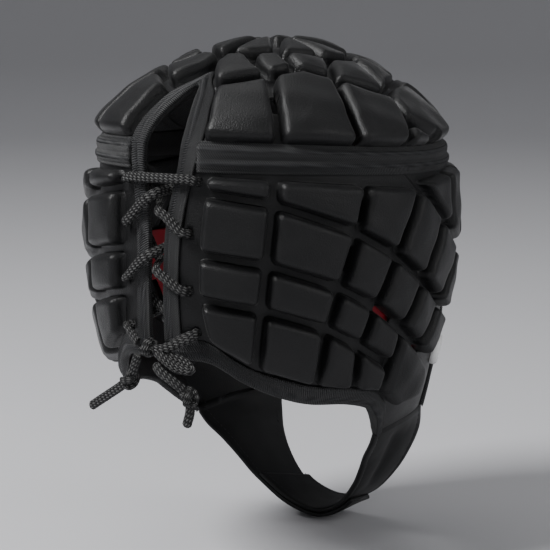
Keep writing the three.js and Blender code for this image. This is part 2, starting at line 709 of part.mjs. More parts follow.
// The bow's knot at the foot of the slit, with its loop folded down on the right.
function ball(centre, radii, detail = 1) {
  const out = welded(new THREE.IcosahedronGeometry(1, detail));
  out.scale(...radii);
  out.translate(...onCap(centre).toArray());
  return out;
}
const join = (...geometries) =>
  fromSolid(geometries.map(toSolid).reduce((a, b) => a.add(b)));
const KNOT = { at: [-0.2, -79.6, 6.4], radii: [6.5, 5, 5.2] };
const FOLD = { at: [9.6, -86, 13.8], radii: [2.7, 2.7, 2.7] };
const LOOP_OUT = [[1.3, -80.4, 7.4], [3.8, -83.4, 9.8], [6.5, -85.8, 12.6], FOLD.at];
const LOOP_BACK = [FOLD.at, [8.2, -84.3, 10.2], [5.2, -82.5, 8], [1.6, -80, 6.6]];
add(
  "lace_knot",
  join(
    ball(KNOT.at, KNOT.radii),
    cord(LOOP_OUT.map(onCap)),
    cord(LOOP_BACK.map(onCap)),
    ball(FOLD.at, FOLD.radii),
  ),
);

// Free ends, each with a knot near its tip.
const TIP_KNOT = [4.6, 4.4, 4.2];
const RIGHT_END = [
  [2.2, -84.9, 12.7],
  [3.6, -87.6, 14.9],
  [6.5, -92, 16],
  [8.5, -97, 15.6],
  [8.3, -103.7, 15],
  [6.9, -111.3, 14.8],
];
const LEFT_END = [
  [-2.7, -83.1, 8],
  [-4.3, -89.1, 8],
  [-5.7, -94.2, 8.5],
  [-8.3, -98.1, 10.6],
  [-12.4, -102.7, 15.7],
  [-16.3, -106.7, 21.7],
];
add("lace_end_right", join(cord(RIGHT_END.map(onCap)), ball([8.5, -97.6, 15.6], TIP_KNOT)));
add("lace_end_left", join(cord(LEFT_END.map(onCap)), ball([-6, -95, 8.7], TIP_KNOT)));

// The plain disc on the right cheek flap.
const DISC = { at: [130.4, -99.5], radius: 7.4, thickness: 2.6, seat: -0.1, sides: 20 };
const seat = frameOn(wall, DISC.at, wall(DISC.at[0] + 3, DISC.at[1], 0));
const disc = new THREE.CylinderGeometry(DISC.radius * 0.86, DISC.radius, DISC.thickness, DISC.sides);
disc.rotateX(Math.PI / 2);
disc.translate(0, 0, DISC.thickness / 2 + DISC.seat);
disc.applyMatrix4(new THREE.Matrix4().makeBasis(seat.x, seat.y, seat.out).setPosition(seat.p));
add("cheek_disc", welded(disc), 0xe8e8e6);

export default group;
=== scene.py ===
"""Looks of a padded scrum cap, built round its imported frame.

Lengths are in millimetres until a mesh is made, which is in metres. Two charts cover the head: a
turn is in degrees from the rear centre towards the wearer's right, a level is in hundredths of the
drop over the band seam, and a climb runs from 0 at the band seam to 90 at the top.
"""

from __future__ import annotations

import logging
import math
from dataclasses import dataclass, field
from enum import Enum
from typing import Sequence

import bpy
import numpy as np
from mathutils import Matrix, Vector

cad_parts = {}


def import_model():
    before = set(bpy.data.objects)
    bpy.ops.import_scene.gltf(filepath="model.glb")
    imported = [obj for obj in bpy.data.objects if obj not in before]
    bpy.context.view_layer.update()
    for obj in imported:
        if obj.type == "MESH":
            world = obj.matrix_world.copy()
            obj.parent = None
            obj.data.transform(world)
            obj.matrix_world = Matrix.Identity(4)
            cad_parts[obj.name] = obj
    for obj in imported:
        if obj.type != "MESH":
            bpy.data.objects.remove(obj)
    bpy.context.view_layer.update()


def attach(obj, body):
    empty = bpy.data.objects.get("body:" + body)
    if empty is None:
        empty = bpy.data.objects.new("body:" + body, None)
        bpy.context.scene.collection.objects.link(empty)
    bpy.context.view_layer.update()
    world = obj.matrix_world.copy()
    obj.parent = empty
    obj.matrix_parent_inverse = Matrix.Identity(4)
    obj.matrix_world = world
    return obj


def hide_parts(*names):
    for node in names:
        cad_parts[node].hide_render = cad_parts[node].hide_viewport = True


LOG = logging.getLogger("scrum_cap")
METRES = 0.001
SPAN_STEPS = 24
WELDS_PER_MM = 500
BODY = "root"
FLIP = np.array([-1.0, 1.0, 1.0])
UP = np.array([0.0, 0.0, 1.0])
TOP = 90
LEAST = 1e-9

Pair = tuple[float, float]
Station = tuple[float, float, float]


class Chart(Enum):
    """The two charts that cover the head."""

    WALL = "wall"
    CROWN = "crown"


class Side(Enum):
    """A side of the wearer, with the sign of its turns."""

    RIGHT = 1
    LEFT = -1

    @property
    def word(self) -> str:
        """The side's name in lower case."""
        return self.name.lower()


@dataclass(frozen=True)
class Level:
    """One level of the head form, as shares of the half width and half length.

    The powers say how square the curve is: 2 is an ellipse.
    """

    level: float
    width: float
    front: float
    rear: float
    front_power: float
    rear_power: float


LEVELS = (
    Level(-140, 0.63, 1.04, 0.9, 2.6, 1.6), Level(-110, 0.85, 0.99, 0.99, 2.2, 1.6),
    Level(-84, 0.967, 0.98, 1.03, 2.05, 1.7), Level(-58, 1.007, 1.01, 1.04, 2.0, 1.85),
    Level(-32, 1.013, 1.015, 1.03, 2.0, 1.95), Level(0, 1, 0.995, 1, 2.0, 2.0),
    Level(20, 0.993, 0.985, 0.99, 2.0, 2.0),
)


@dataclass(frozen=True)
class HeadForm:
    """The outer cloth of the cap as a surface over the head."""

    half_width: float = 76.0
    half_length: float = 97.0
    crown_rise: float = 48.5
    drop: float = 100.0
    cloth_thick: float = 1.5
    seam_tilt: float = 4.5
    seam_sag: float = 0.9
    round_ears: float = 1.45
    round_middle: float = 1.65
    climb_power: float = 0.75
    lowest_climb: float = 0.6
    normal_step: float = 0.4
    normal_climbs: Pair = (1.2, 84.0)
    below_seam: float = 30.0

    @property
    def head_top(self) -> float:
        """Height of the origin over the seam plane."""
        return self.crown_rise - self.cloth_thick

    def column(self, name: str, level: np.ndarray) -> np.ndarray:
        """Gives a smooth value of one column of the levels.

        Args:
            name: the column.
            level: the levels asked for.

        Returns:
            A value for each level.
        """
        knots = np.array([row.level for row in LEVELS])
        values = np.array([getattr(row, name) for row in LEVELS])
        last = len(knots) - 1
        up = np.minimum(np.arange(last + 1) + 1, last)
        down = np.maximum(np.arange(last + 1) - 1, 0)
        slopes = (values[up] - values[down]) / (knots[up] - knots[down])
        k = np.clip(np.searchsorted(knots, level, side="right") - 1, 0, last - 1)
        span = knots[k + 1] - knots[k]
        s = (level - knots[k]) / span
        return (
            (2 * s**3 - 3 * s**2 + 1) * values[k]
            + (s**3 - 2 * s**2 + s) * span * slopes[k]
            + (3 * s**2 - 2 * s**3) * values[k + 1]
            + (s**3 - s**2) * span * slopes[k + 1]
        )

    def seam_level(self, turn: np.ndarray) -> np.ndarray:
        """The band seam's level at a turn."""
        a = np.radians(turn)
        return self.seam_tilt * np.cos(a) + self.seam_sag * np.cos(2 * a)

    def plan(self, turn: np.ndarray, level: np.ndarray) -> tuple[np.ndarray, np.ndarray]:
        """Gives the plan outline.

        Args:
            turn: the turns.
            level: the levels.

        Returns:
            x and y of each point.
        """
        c, s = np.cos(np.radians(turn)), np.sin(np.radians(turn))
        rear = c > 0
        reach = np.where(rear, self.column("rear", level), self.column("front", level))
        power = np.where(rear, self.column("rear_power", level), self.column("front_power", level))
        across = np.abs(s) / (self.half_width * self.column("width", level))
        along = np.abs(c) / (self.half_length * reach)
        r = (across**power + along**power) ** (-1 / power)
        return -r * s, r * c

    def cloth(self, chart: Chart, turn: np.ndarray, height: np.ndarray) -> np.ndarray:
        """Gives points on the outer cloth, from the origin.

        Args:
            chart: which chart the height is on.
            turn: the turns.
            height: the levels or climbs.

        Returns:
            One point for each turn, in the last axis.
        """
        turn, height = np.broadcast_arrays(np.asarray(turn, float), np.asarray(height, float))
        if chart is Chart.WALL:
            x, y = self.plan(turn, height)
            return np.stack([x, y, height * self.drop / 100 - self.head_top], -1)
        fuller = self.round_middle - self.round_ears
        power = 2 / (self.round_ears + fuller * np.cos(np.radians(turn)) ** 2)
        t = np.radians(np.clip(height, self.lowest_climb, TOP))
        k = np.maximum(0, np.cos(t)) ** power
        h = np.sin(t) ** power
        x, y = self.plan(turn, np.zeros_like(turn))
        rise = self.seam_level(turn) * self.drop / 100 * k + self.crown_rise * h
        return np.stack([x * k, y * k, rise - self.head_top], -1)

    def outward(self, chart: Chart, turn: np.ndarray, height: np.ndarray) -> np.ndarray:
        """Gives the unit normal of the cloth, away from the head.

        Args:
            chart: which chart the height is on.
            turn: the turns.
            height: the levels or climbs.

        Returns:
            One direction for each turn, in the last axis.
        """
        turn, height = np.broadcast_arrays(np.asarray(turn, float), np.asarray(height, float))
        step, (low, high) = self.normal_step, self.normal_climbs
        safe = height if chart is Chart.WALL else np.clip(height, low, high)
        du = self.cloth(chart, turn + step, safe) - self.cloth(chart, turn - step, safe)
        dv = self.cloth(chart, turn, safe + step) - self.cloth(chart, turn, safe - step)
        n = unit(np.cross(du, dv))
        point = self.cloth(chart, turn, safe)
        away = point.copy()
        centre = self.head_top + self.below_seam
        away[..., 2] = 0 if chart is Chart.WALL else point[..., 2] + centre
        n = np.where((n * away).sum(-1, keepdims=True) < 0, -n, n)
        if chart is Chart.CROWN:
            share = np.clip((height - high) / (TOP - high), 0, 1)[..., None]
            n = unit(n * (1 - share) + UP * share)
        return n

    def place(
        self, chart: Chart, turn: np.ndarray, height: np.ndarray, lift: np.ndarray | float
    ) -> np.ndarray:
        """Gives points lifted off the outer cloth.

        Args:
            chart: which chart the height is on.
            turn: the turns.
            height: the levels or climbs.
            lift: the distance off the cloth.

        Returns:
            One point for each turn, in the last axis.
        """
        off = np.asarray(lift, float)[..., None] * self.outward(chart, turn, height)
        return self.cloth(chart, turn, height) + off

    def station(self, stop: Station) -> np.ndarray:
        """The point of one lace station, given as turn, level and lift."""
        turn, level, lift = stop
        return self.place(Chart.WALL, np.array(turn), np.array(level), np.array(lift))

    def climb_for(self, height: np.ndarray) -> np.ndarray:
        """The climb at a height over the band seam."""
        return np.degrees(np.arcsin((height / self.crown_rise) ** self.climb_power))


HEAD = HeadForm()


def unit(v: np.ndarray) -> np.ndarray:
    """Scales vectors in the last axis to length 1."""
    return v / np.maximum(np.linalg.norm(v, axis=-1, keepdims=True), LEAST)


def smooth_line(points: np.ndarray, per_span: int) -> np.ndarray:
    """Gives a Catmull-Rom line through rows of points.

    Args:
        points: the rows that it passes through, in the first axis.
        per_span: the steps between two rows.

    Returns:
        The rows of the finer line, first and last row kept.
    """
    ends = [2 * points[0] - points[1], *points, 2 * points[-1] - points[-2]]
    rows = []
    for a, b, c, d in zip(ends, ends[1:], ends[2:], ends[3:]):
        for s in np.arange(per_span) / per_span:
            bend = (2 * a - 5 * b + 4 * c - d) * s**2 + (3 * b - a - 3 * c + d) * s**3
            rows.append(0.5 * (2 * b + (c - a) * s + bend))
    return np.array([*rows, points[-1]])


def centripetal(points: np.ndarray, step: float) -> np.ndarray:
    """Gives a centripetal Catmull-Rom line at even steps of length.

    Args:
        points: the points that it passes through.
        step: the wanted distance between two points of the result.

    Returns:
        The points of the line.
    """
    ends = [2 * points[0] - points[1], *points, 2 * points[-1] - points[-2]]
    fine = []
    for p0, p1, p2, p3 in zip(ends, ends[1:], ends[2:], ends[3:]):
        t1, t2, t3 = np.cumsum(
            [max(np.linalg.norm(b - a) ** 0.5, LEAST) for a, b in ((p0, p1), (p1, p2), (p2, p3))]
        )
        for t in np.linspace(t1, t2, SPAN_STEPS, endpoint=False):
            a1 = p0 + (p1 - p0) * t / t1
            a2 = p1 + (p2 - p1) * (t - t1) / (t2 - t1)
            a3 = p2 + (p3 - p2) * (t - t2) / (t3 - t2)
            b1 = a1 + (a2 - a1) * t / t2
            b2 = a2 + (a3 - a2) * (t - t1) / (t3 - t1)
            fine.append(b1 + (b2 - b1) * (t - t1) / (t2 - t1))
    line = np.array([*fine, points[-1]])
    return even(line, max(2, round(length_of(line) / step)))


def length_of(line: np.ndarray) -> float:
    """The length of a polyline."""
    return float(np.linalg.norm(np.diff(line, axis=0), axis=1).sum())


def run_of(line: np.ndarray) -> np.ndarray:
    """The distance along a polyline at each of its points."""
    return np.concatenate([[0], np.cumsum(np.linalg.norm(np.diff(line, axis=0), axis=1))])


def even(line: np.ndarray, steps: int) -> np.ndarray:
    """Gives a polyline's points at even distances.

    Args:
        line: the points of the polyline.
        steps: the number of steps in the result.

    Returns:
        One more point than steps.
    """
    run = run_of(line)
    wanted = np.linspace(0, run[-1], steps + 1)
    return np.stack([np.interp(wanted, run, line[:, i]) for i in range(3)], -1)


def distance_to(points: np.ndarray, line: np.ndarray) -> np.ndarray:
    """Gives each point's distance to a polyline.

    Args:
        points: rows of points.
        line: the polyline's points.

    Returns:
        One distance for each point.
    """
    a, ab = line[:-1], np.diff(line, axis=0)
    rel = points[:, None] - a
    t = np.clip((rel * ab).sum(-1) / np.maximum((ab * ab).sum(-1), LEAST), 0, 1)
    return np.linalg.norm(rel - t[..., None] * ab, axis=-1).min(1)


def put(name: str, data: bpy.types.ID) -> bpy.types.Object:
    """Adds an object to the scene.

    Args:
        name: its name.
        data: its mesh, lamp or camera.

    Returns:
        The object.
    """
    made = bpy.data.objects.new(name, data)
    bpy.context.scene.collection.objects.link(made)
    return made


def make_mesh(
    name: str, points: np.ndarray, faces: Sequence[Sequence[int]], uv: np.ndarray | None = None,
    masks: dict[str, np.ndarray] | None = None,
) -> bpy.types.Object:
    """Makes a smooth-shaded mesh object at the origin.

    Args:
        name: the piece's name.
        points: vertices in millimetres.
        faces: vertex numbers of each face.
        uv: a pair for each vertex, in millimetres, if a pattern follows the surface.
        masks: values for each vertex, by attribute name.

    Returns:
        The new object.
    """
    mesh = bpy.data.meshes.new(name)
    mesh.from_pydata((points * METRES).tolist(), [], [list(map(int, f)) for f in faces])
    if uv is not None:
        loops = np.zeros(len(mesh.loops), np.int32)
        mesh.loops.foreach_get("vertex_index", loops)
        mesh.uv_layers.new(name="cloth_mm").data.foreach_set("uv", uv[loops].ravel())
    for key, values in (masks or {}).items():
        mesh.attributes.new(key, "FLOAT", "POINT").data.foreach_set("value", values.astype(np.float32))
    mesh.shade_smooth()
    mesh.validate()
    return put(name, mesh)


def volume_of(points: np.ndarray, faces: Sequence[Sequence[int]]) -> float:
    """The signed volume inside closed faces; it is positive where they face outwards."""
    total = 0.0
    for f in (np.array([g for g in faces if len(g) == n]) for n in (3, 4)):
        if len(f):
            for k in range(1, f.shape[1] - 1):
                a, b, c = points[f[:, 0]], points[f[:, k]], points[f[:, k + 1]]
                total += float((a * np.cross(b, c)).sum())
    return total / 6


def finish_piece(
    piece: bpy.types.Object, slot: str, material: bpy.types.Material, *replaced: str
) -> bpy.types.Object:
    """Dresses a piece, makes it ride on the body, and hides the CAD parts that it stands for.

    Args:
        piece: the object.
        slot: not used.
        material: its material.
        replaced: the CAD nodes that it stands for.

    Returns:
        The same object.
    """
    piece.data.materials.clear()
    piece.data.materials.append(material)
    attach(piece, BODY)
    if replaced:
        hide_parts(*replaced)
    LOG.info("%s: %d faces", piece.name, len(piece.data.polygons))
    return piece


@dataclass(frozen=True)
class PadShape:
    """The rounded relief of a foam pad under its cloth."""

    inset: float = 1.7
    corner: float = 3.2
    shoulder: float = 3.4
    fullness: float = 2.4
    height: float = 7.2
    dome: float = 0.6
    dome_reach: float = 9.0
    pressed_inside: float = 0.6
    ripple: float = 0.22
    ripple_runs: tuple[Station, ...] = ((0.21, 0.09, 0.13), (-0.1, 0.24, 0.17), (0.15, -0.2, 0.31))

    def relief(self, points: np.ndarray, sides: Sequence[np.ndarray]) -> np.ndarray:
        """Gives the pad's height over the cloth.

        Args:
            points: points on the cloth.
            sides: the pad's sides as polylines along the seams.

        Returns:
            One height for each point.
        """
        away = np.stack([distance_to(points, side) - self.inset for side in sides])
        near = np.maximum(self.corner - away, 0)
        pinch = np.sqrt((near**2).sum(0))
        d = np.where(pinch > 0, self.corner - pinch, away.min(0))
        t = np.clip(d / self.shoulder, 0, 1)
        wall = (1 - (1 - t) ** self.fullness) ** (1 / self.fullness)
        dome = self.dome * (1 - np.exp(-((np.maximum(d, 0) / self.dome_reach) ** 2)))
        waves = sum(np.sin(points @ np.array(run)) for run in self.ripple_runs)
        return (self.height + self.ripple * waves) * wall + dome


@dataclass(frozen=True)
class Slot:
    """A through slot in a groove, from one chart point to another."""

    start: Pair
    end: Pair
    width: float


@dataclass(frozen=True)
class Hole:
    """A hole in the cloth: round at a point, or long between two points."""

    line: np.ndarray
    radius: float

    def depth(self, points: np.ndarray) -> np.ndarray:
        """Each point's distance outside the hole, negative inside it."""
        return distance_to(points, self.line) - self.radius

    def to_rim(self, points: np.ndarray) -> np.ndarray:
        """The moves that bring points to the hole's rim."""
        a, ab = self.line[0], self.line[-1] - self.line[0]
        t = np.clip(((points - a) @ ab) / max(float(ab @ ab), LEAST), 0, 1)
        rel = points - a - t[:, None] * ab
        return unit(rel) * (self.radius - np.linalg.norm(rel, axis=1, keepdims=True))


@dataclass
class Skin:
    """A cloth wall made of grids of paired outer and inner points."""

    grids: list[np.ndarray] = field(default_factory=list)

    def add(self, base: np.ndarray, outer: np.ndarray, inner: np.ndarray) -> None:
        """Adds one grid.

        Args:
            base: points on the cloth, rows by columns.
            outer: the points of the outer face.
            inner: the points of the inner face.
        """
        self.grids.append(np.concatenate([base, outer, inner], -1))

    def mirror(self) -> None:
        """Adds the reflection of every grid in the plane x = 0."""
        self.grids += [(grid * np.tile(FLIP, 3))[:, ::-1] for grid in self.grids]

    def build(self, name: str, holes: Sequence[Hole] = ()) -> bpy.types.Object:
        """Welds the grids, cuts the holes and closes the rims.

        Args:
            name: the piece's name.
            holes: the holes through the wall.

        Returns:
            The closed mesh, with a mask of each vertex's height over the cloth.
        """
        rows, quads, start = [], [], 0
        for grid in self.grids:
            r, c = grid.shape[:2]
            ids = start + np.arange(r * c).reshape(r, c)
            quads.append(
                np.stack([ids[:-1, :-1], ids[:-1, 1:], ids[1:, 1:], ids[1:, :-1]], -1).reshape(-1, 4)
            )
            rows.append(grid.reshape(-1, 9))
            start += r * c
        every, faces = np.concatenate(rows), np.concatenate(quads)
        welds = np.round(every[:, :3] * WELDS_PER_MM).astype(np.int64)
        _, first, back = np.unique(welds, axis=0, return_index=True, return_inverse=True)
        data, faces = every[first], back.reshape(-1)[faces]
        for hole in holes:
            data, faces = self.cut(data, faces, hole)
        n = len(data)
        outer = self.tidy(faces)
        pairs = {(f[i], f[(i + 1) % len(f)]) for f in outer for i in range(len(f))}
        closed = [*outer, *[[n + v for v in reversed(f)] for f in outer]]
        closed += [[b, a, n + a, n + b] for a, b in pairs if (b, a) not in pairs]
        points = np.concatenate([data[:, 3:6], data[:, 6:9]])
        if volume_of(points, closed) < 0:
            closed = [list(reversed(f)) for f in closed]
        height = np.linalg.norm(data[:, 3:6] - data[:, :3], axis=1)
        return make_mesh(
            name, points, closed, masks={"pad_height": np.concatenate([height, np.zeros(n)])}
        )

    @staticmethod
    def tidy(faces: np.ndarray) -> list[list[int]]:
        """Drops doubled corners, and faces with fewer than three."""
        kept = []
        for f in faces.tolist():
            corners = [v for i, v in enumerate(f) if v != f[i - 1]]
            if len(set(corners)) == len(corners) and len(corners) > 2:
                kept.append(corners)
        return kept

    @staticmethod
    def cut(data: np.ndarray, faces: np.ndarray, hole: Hole) -> tuple[np.ndarray, np.ndarray]:
        """Cuts one hole and brings its rim to the right line.

        Args:
            data: base, outer and inner points, a row for each vertex.
            faces: four vertex numbers for each face.
            hole: the hole.

        Returns:
            The moved vertices and the faces that stay.
        """
        base = data[:, :3]
        inside = hole.depth(base[faces].mean(1)) < 0
        if not inside.any():
            return data, faces
        kept = faces[~inside]
        rim = np.intersect1d(np.unique(faces[inside]), np.unique(kept))
        data = data.copy()
        data[rim] += np.tile(hole.to_rim(base[rim]), 3)
        return data, kept


@dataclass(frozen=True)
class Quilt:
    """A panel of cloth with a net of seams and pads between them."""

    name: str
    nodes: tuple[str, ...]
    chart: Chart
    seams: tuple[tuple[Pair | None, ...], ...]
    pads: tuple[str, ...]
    slots: tuple[Slot, ...] = ()
    eyelets: tuple[Pair, ...] = ()
    turn_sign: int = 1
    mirrored: bool = False
    shape: PadShape = PadShape()
    near_seam: tuple[float, ...] = (0.0, 0.9, 1.6, 1.85, 2.2, 2.7, 3.4, 4.4, 5.6)
    spacing: float = 2.0
    eyelet_radius: float = 2.0
    edge_points: int = 9
    near_share: float = 0.42
    point_hole: float = 1e-4

    def corner(self, row: int, column: int) -> np.ndarray:
        """The chart point where a row seam meets a column seam."""
        turn, height = self.seams[row][column]
        return np.array([turn * self.turn_sign, height])

    def cloth(self, chart_points: np.ndarray) -> np.ndarray:
        """The cloth point of each chart point."""
        return HEAD.cloth(self.chart, chart_points[..., 0], chart_points[..., 1])

    def mark(self, row: int, column: int) -> str:
        """The pad letter of a cell, or a blank outside the panel."""
        inside = 0 <= row < len(self.pads) and 0 <= column < len(self.pads[0])
        return self.pads[row][column] if inside else " "

    def edge(self, a: np.ndarray, b: np.ndarray) -> np.ndarray:
        """A seam between two chart points as a polyline on the cloth."""
        share = np.linspace(0, 1, self.edge_points)[:, None]
        return self.cloth(a * (1 - share) + b * share)

    def span(self, a: np.ndarray, b: np.ndarray) -> float:
        """The straight distance between two chart points on the cloth."""
        return float(np.linalg.norm(self.cloth(a) - self.cloth(b)))

    def breaks(self, length: float, middles: int) -> np.ndarray:
        """Gives the shares at which a seam edge is divided.

        Args:
            length: the edge's length.
            middles: how many points lie between the two fine ends.

        Returns:
            Shares from 0 to 1.
        """
        near = np.array(self.near_seam)
        near = near * min(1, self.near_share * length / near[-1])
        middle = np.linspace(near[-1], length - near[-1], middles + 2)[1:-1]
        return np.concatenate([near, middle, length - near[::-1]]) / length

    def pad_sides(self) -> dict[str, list[np.ndarray]]:
        """The sides of each pad, as polylines on the cloth, by its letter."""
        found: dict[str, dict[tuple[str, int, int], list[np.ndarray]]] = {}
        for r, row in enumerate(self.pads):
            for c, letter in enumerate(row):
                if not letter.isalpha():
                    continue
                sides = found.setdefault(letter, {})
                for key, other, a, b in (
                    (("row", r, 1), (r - 1, c), (r, c), (r, c + 1)),
                    (("row", r + 1, -1), (r + 1, c), (r + 1, c), (r + 1, c + 1)),
                    (("column", c, 1), (r, c - 1), (r, c), (r + 1, c)),
                    (("column", c + 1, -1), (r, c + 1), (r, c + 1), (r + 1, c + 1)),
                ):
                    if self.mark(*other) != letter:
                        line = self.edge(self.corner(*a), self.corner(*b))
                        sides.setdefault(key, []).append(line)
        return {
            letter: [np.concatenate(lines) for lines in sides.values()]
            for letter, sides in found.items()
        }

    def middles(self, cells: Sequence[tuple[int, int]], axis: int) -> dict[int, int]:
        """Gives how many points the seam edges need between their fine ends.

        Args:
            cells: the row and column of each cell.
            axis: 0 for the edges down each row of cells, 1 for those across each column.

        Returns:
            The largest number of points, by row or by column.
        """
        found: dict[int, int] = {}
        for cell in cells:
            r, c = cell
            for k in (0, 1):
                ends = ((r + k, c), (r + k, c + 1)) if axis else ((r, c + k), (r + 1, c + k))
                free = self.span(*(self.corner(*end) for end in ends)) - 2 * self.near_seam[-1]
                need = math.ceil(free / self.spacing) - 1
                found[cell[axis]] = max(found.get(cell[axis], 0), need)
        return found

    def holes(self) -> list[Hole]:
        """The slots and lace holes, on every half that has them."""
        found = []
        signs = (1, -1) if self.mirrored else (self.turn_sign,)
        for sign in signs:
            turn_to = np.array([sign, 1.0])
            for slot in self.slots:
                ends = self.cloth(np.array([slot.start, slot.end]) * turn_to)
                along = unit(ends[1] - ends[0]) * slot.width / 2
                found.append(Hole(np.array([ends[0] + along, ends[1] - along]), slot.width / 2))
            for at in self.eyelets:
                centre = self.cloth(np.array(at) * turn_to)
                found.append(Hole(np.array([centre, centre + self.point_hole]), self.eyelet_radius))
        return found

    def build(self) -> bpy.types.Object:
        """Makes the panel's mesh.

        Returns:
            The closed mesh.
        """
        skin = Skin()
        sides = self.pad_sides()
        cells = [(r, c) for r, row in enumerate(self.pads) for c, mark in enumerate(row) if mark != " "]
        down, across = self.middles(cells, 0), self.middles(cells, 1)
        for r, c in cells:
            p, q = self.corner(r, c), self.corner(r, c + 1)
            s, w = self.corner(r + 1, c), self.corner(r + 1, c + 1)
            top = self.breaks(self.span(p, q), across[c])[None, :]
            low = self.breaks(self.span(s, w), across[c])[None, :]
            left = self.breaks(self.span(p, s), down[r])[:, None]
            right = self.breaks(self.span(q, w), down[r])[:, None]
            vm, um = (left + right) / 2, (top + low) / 2
            u = (top * (1 - vm) + low * vm)[..., None]
            v = (left * (1 - um) + right * um)[..., None]
            at = (p * (1 - u) + q * u) * (1 - v) + (s * (1 - u) + w * u) * v
            base = self.cloth(at)
            out = HEAD.outward(self.chart, at[..., 0], at[..., 1])
            letter = self.mark(r, c)
            lift = np.zeros(base.shape[:2])
            if letter.isalpha():
                lift = self.shape.relief(base.reshape(-1, 3), sides[letter]).reshape(lift.shape)
            sunk = HEAD.cloth_thick + self.shape.pressed_inside * lift / self.shape.height
            skin.add(base, base + lift[..., None] * out, base - sunk[..., None] * out)
        if self.mirrored:
            skin.mirror()
        return skin.build(self.name, self.holes())


CROWN_SEAMS = (
    ((10.9, 9.9), (32.6, 9.9), (45, 9.9), (59.6, 9.9), (84.5, 9.9), (107, 9.9), (133, 9.9),
     (157, 9.9), (180, 9.9)),
    ((11.2, 22), (31.8, 26), (44.5, 26), (59.2, 26), (91.5, 25), (108.5, 12.5), (133, 23),
     (157, 23), (180, 23)),
    ((8.9, 39), (28.8, 46.8), (43, 51), (62, 46.4), (96.5, 37.5), (112, 42), (133, 42), (157, 42),
     (180, 43)),
    ((0, 52), (21, 54), (38, 57), (71, 54), (107, 48.5), (122, 51), (136, 51), (160, 51), (180, 52)),
    ((0, 59.5), (14.5, 60.5), (33, 63), (79, 60.5), (118, 58.5), (132, 59), (146, 59.5), (163, 60),
     (180, 60)),
    ((0, 84), (14.5, 84), (33, 84), (79, 84), (118, 84), (132, 84), (146, 84), (163, 84), (180, 84)),
    ((0, 90), (14.5, 90), (33, 90), (79, 90), (118, 90), (132, 90), (146, 90), (163, 90), (180, 90)),
)
CROWN_PADS = ("ABBCDEFG", "ABBCEEFG", "HIJKLLMM", "HIJKLLMM", "NNOPPQQQ", "........")
CROWN_SLOTS = (Slot((31.9, 29.5), (30.4, 38.5), 3.6), Slot((59.4, 13), (60, 39.5), 4.2))

UNDER_BAND = 4.5


def under_band(turn: float) -> Pair:
    """The chart point at the lower edge of the band tape."""
    return (turn, float(HEAD.seam_level(np.array(turn))) - UNDER_BAND)


BROW_SEAMS = (
    tuple(under_band(turn) for turn in (81, 112.8, 133, 152, 180)),
    ((86.5, -9.5), (112.8, -8.2), (133, -8.5), (151.5, -8.5), (180, -9)),
    ((88.6, -11.8), (114.5, -38), (131, -49), (151, -39.5), (180, -33)),
)
BROW_PADS = ("....", "abcd")

SIDE_SEAMS = (
    (*(under_band(turn) for turn in (9.9, 13, 31.4, 60.8, 80.2)), None, None, None, None),
    ((9.5, -1.5), (12.9, -1), (31.4, -2.9), (61, -7.6), (87.6, -12.2), (105, -29.2), (122, -46.2),
     (131, -50.2), (140, -46.2)),
    ((8.5, -9.5), (12.2, -10), (30.9, -15.4), (57.2, -30), (74, -42.3), (89.5, -56), (103, -69),
     (116.5, -78), (137, -76)),
    ((6.3, -36.5), (10.9, -37.3), (29.1, -42.5), (50.7, -54.3), (65, -64.4), (79, -77), (92, -88),
     (105.5, -98), (136, -97)),
    ((6.1, -56.5), (10.8, -57.3), (27.6, -62.9), (47, -73), (60.3, -82.7), (77, -94.5), (93, -103),
     (109.5, -107), (139, -108)),
    ((6.6, -77), (12.8, -77.6), (25.3, -91.8), (44.3, -101.6), (60.8, -104.8), (76.5, -108.5),
     (91, -118.5), (112, -116), (143, -118)),
    (None, None, None, None, None, None, (105.5, -134.9), (122, -134), (147, -132.6)),
)
SIDE_PADS = ("....    ", ".ABCDEX.", ".FGHIJY.", ".KLMNZZ.", ".OPQRZZ.", "      ..")
SIDE_SLOTS = (
    Slot((59.9, -15), (58.2, -25), 3.0), Slot((55.4, -35.5), (52.6, -47), 3.4),
    Slot((67.5, -66.4), (76.5, -74.8), 3.0), Slot((94.8, -90.1), (102.5, -95.8), 3.6),
)
EYELETS = {
    Side.RIGHT: ((10.9, -5.2), (8.9, -28.4), (8.9, -54.2), (10.6, -73.2)),
    Side.LEFT: ((10.9, -5.6), (10.2, -25.4), (9.6, -50.2), (9.6, -72.4)),
}


@dataclass(frozen=True)
class TapeRow:
    """One row of a tape: its free edge and its sewn edge on a chart."""

    free: Pair
    sewn: Pair
    chart: Chart = Chart.WALL

    def turned(self, sign: int) -> TapeRow:
        """The same row, with its turns times a sign."""
        free, sewn = (self.free[0] * sign, self.free[1]), (self.sewn[0] * sign, self.sewn[1])
        return TapeRow(free, sewn, self.chart)


def tape_rows(chart: Chart, *edges: tuple[float, ...]) -> tuple[TapeRow, ...]:
    """Rows of a tape, each given as turn and height of its free edge and then of its sewn edge."""
    return tuple(TapeRow(row[:2], row[2:], chart) for row in edges)


@dataclass(frozen=True)
class SeamLine:
    """A line on a tape or strap that stitches or ribs follow."""

    points: np.ndarray
    outward: np.ndarray


def ring_faces(stations: int, around: int) -> list[list[int]]:
    """Gives the faces over rings of points, with both ends closed by strips.

    Args:
        stations: the number of rings.
        around: the number of points in each ring.

    Returns:
        The vertex numbers of each face.
    """
    faces = []
    for i in range(stations - 1):
        for j in range(around):
            a, b = i * around + j, i * around + (j + 1) % around
            faces.append([a, b, b + around, a + around])
    last = (stations - 1) * around
    for cap in (range(around)[::-1], range(last, last + around)):
        for i in range((around - 1) // 2):
            strip = list(dict.fromkeys([cap[i], cap[i + 1], cap[-2 - i], cap[-1 - i]]))
            if len(strip) > 2:
                faces.append(strip)
    return faces


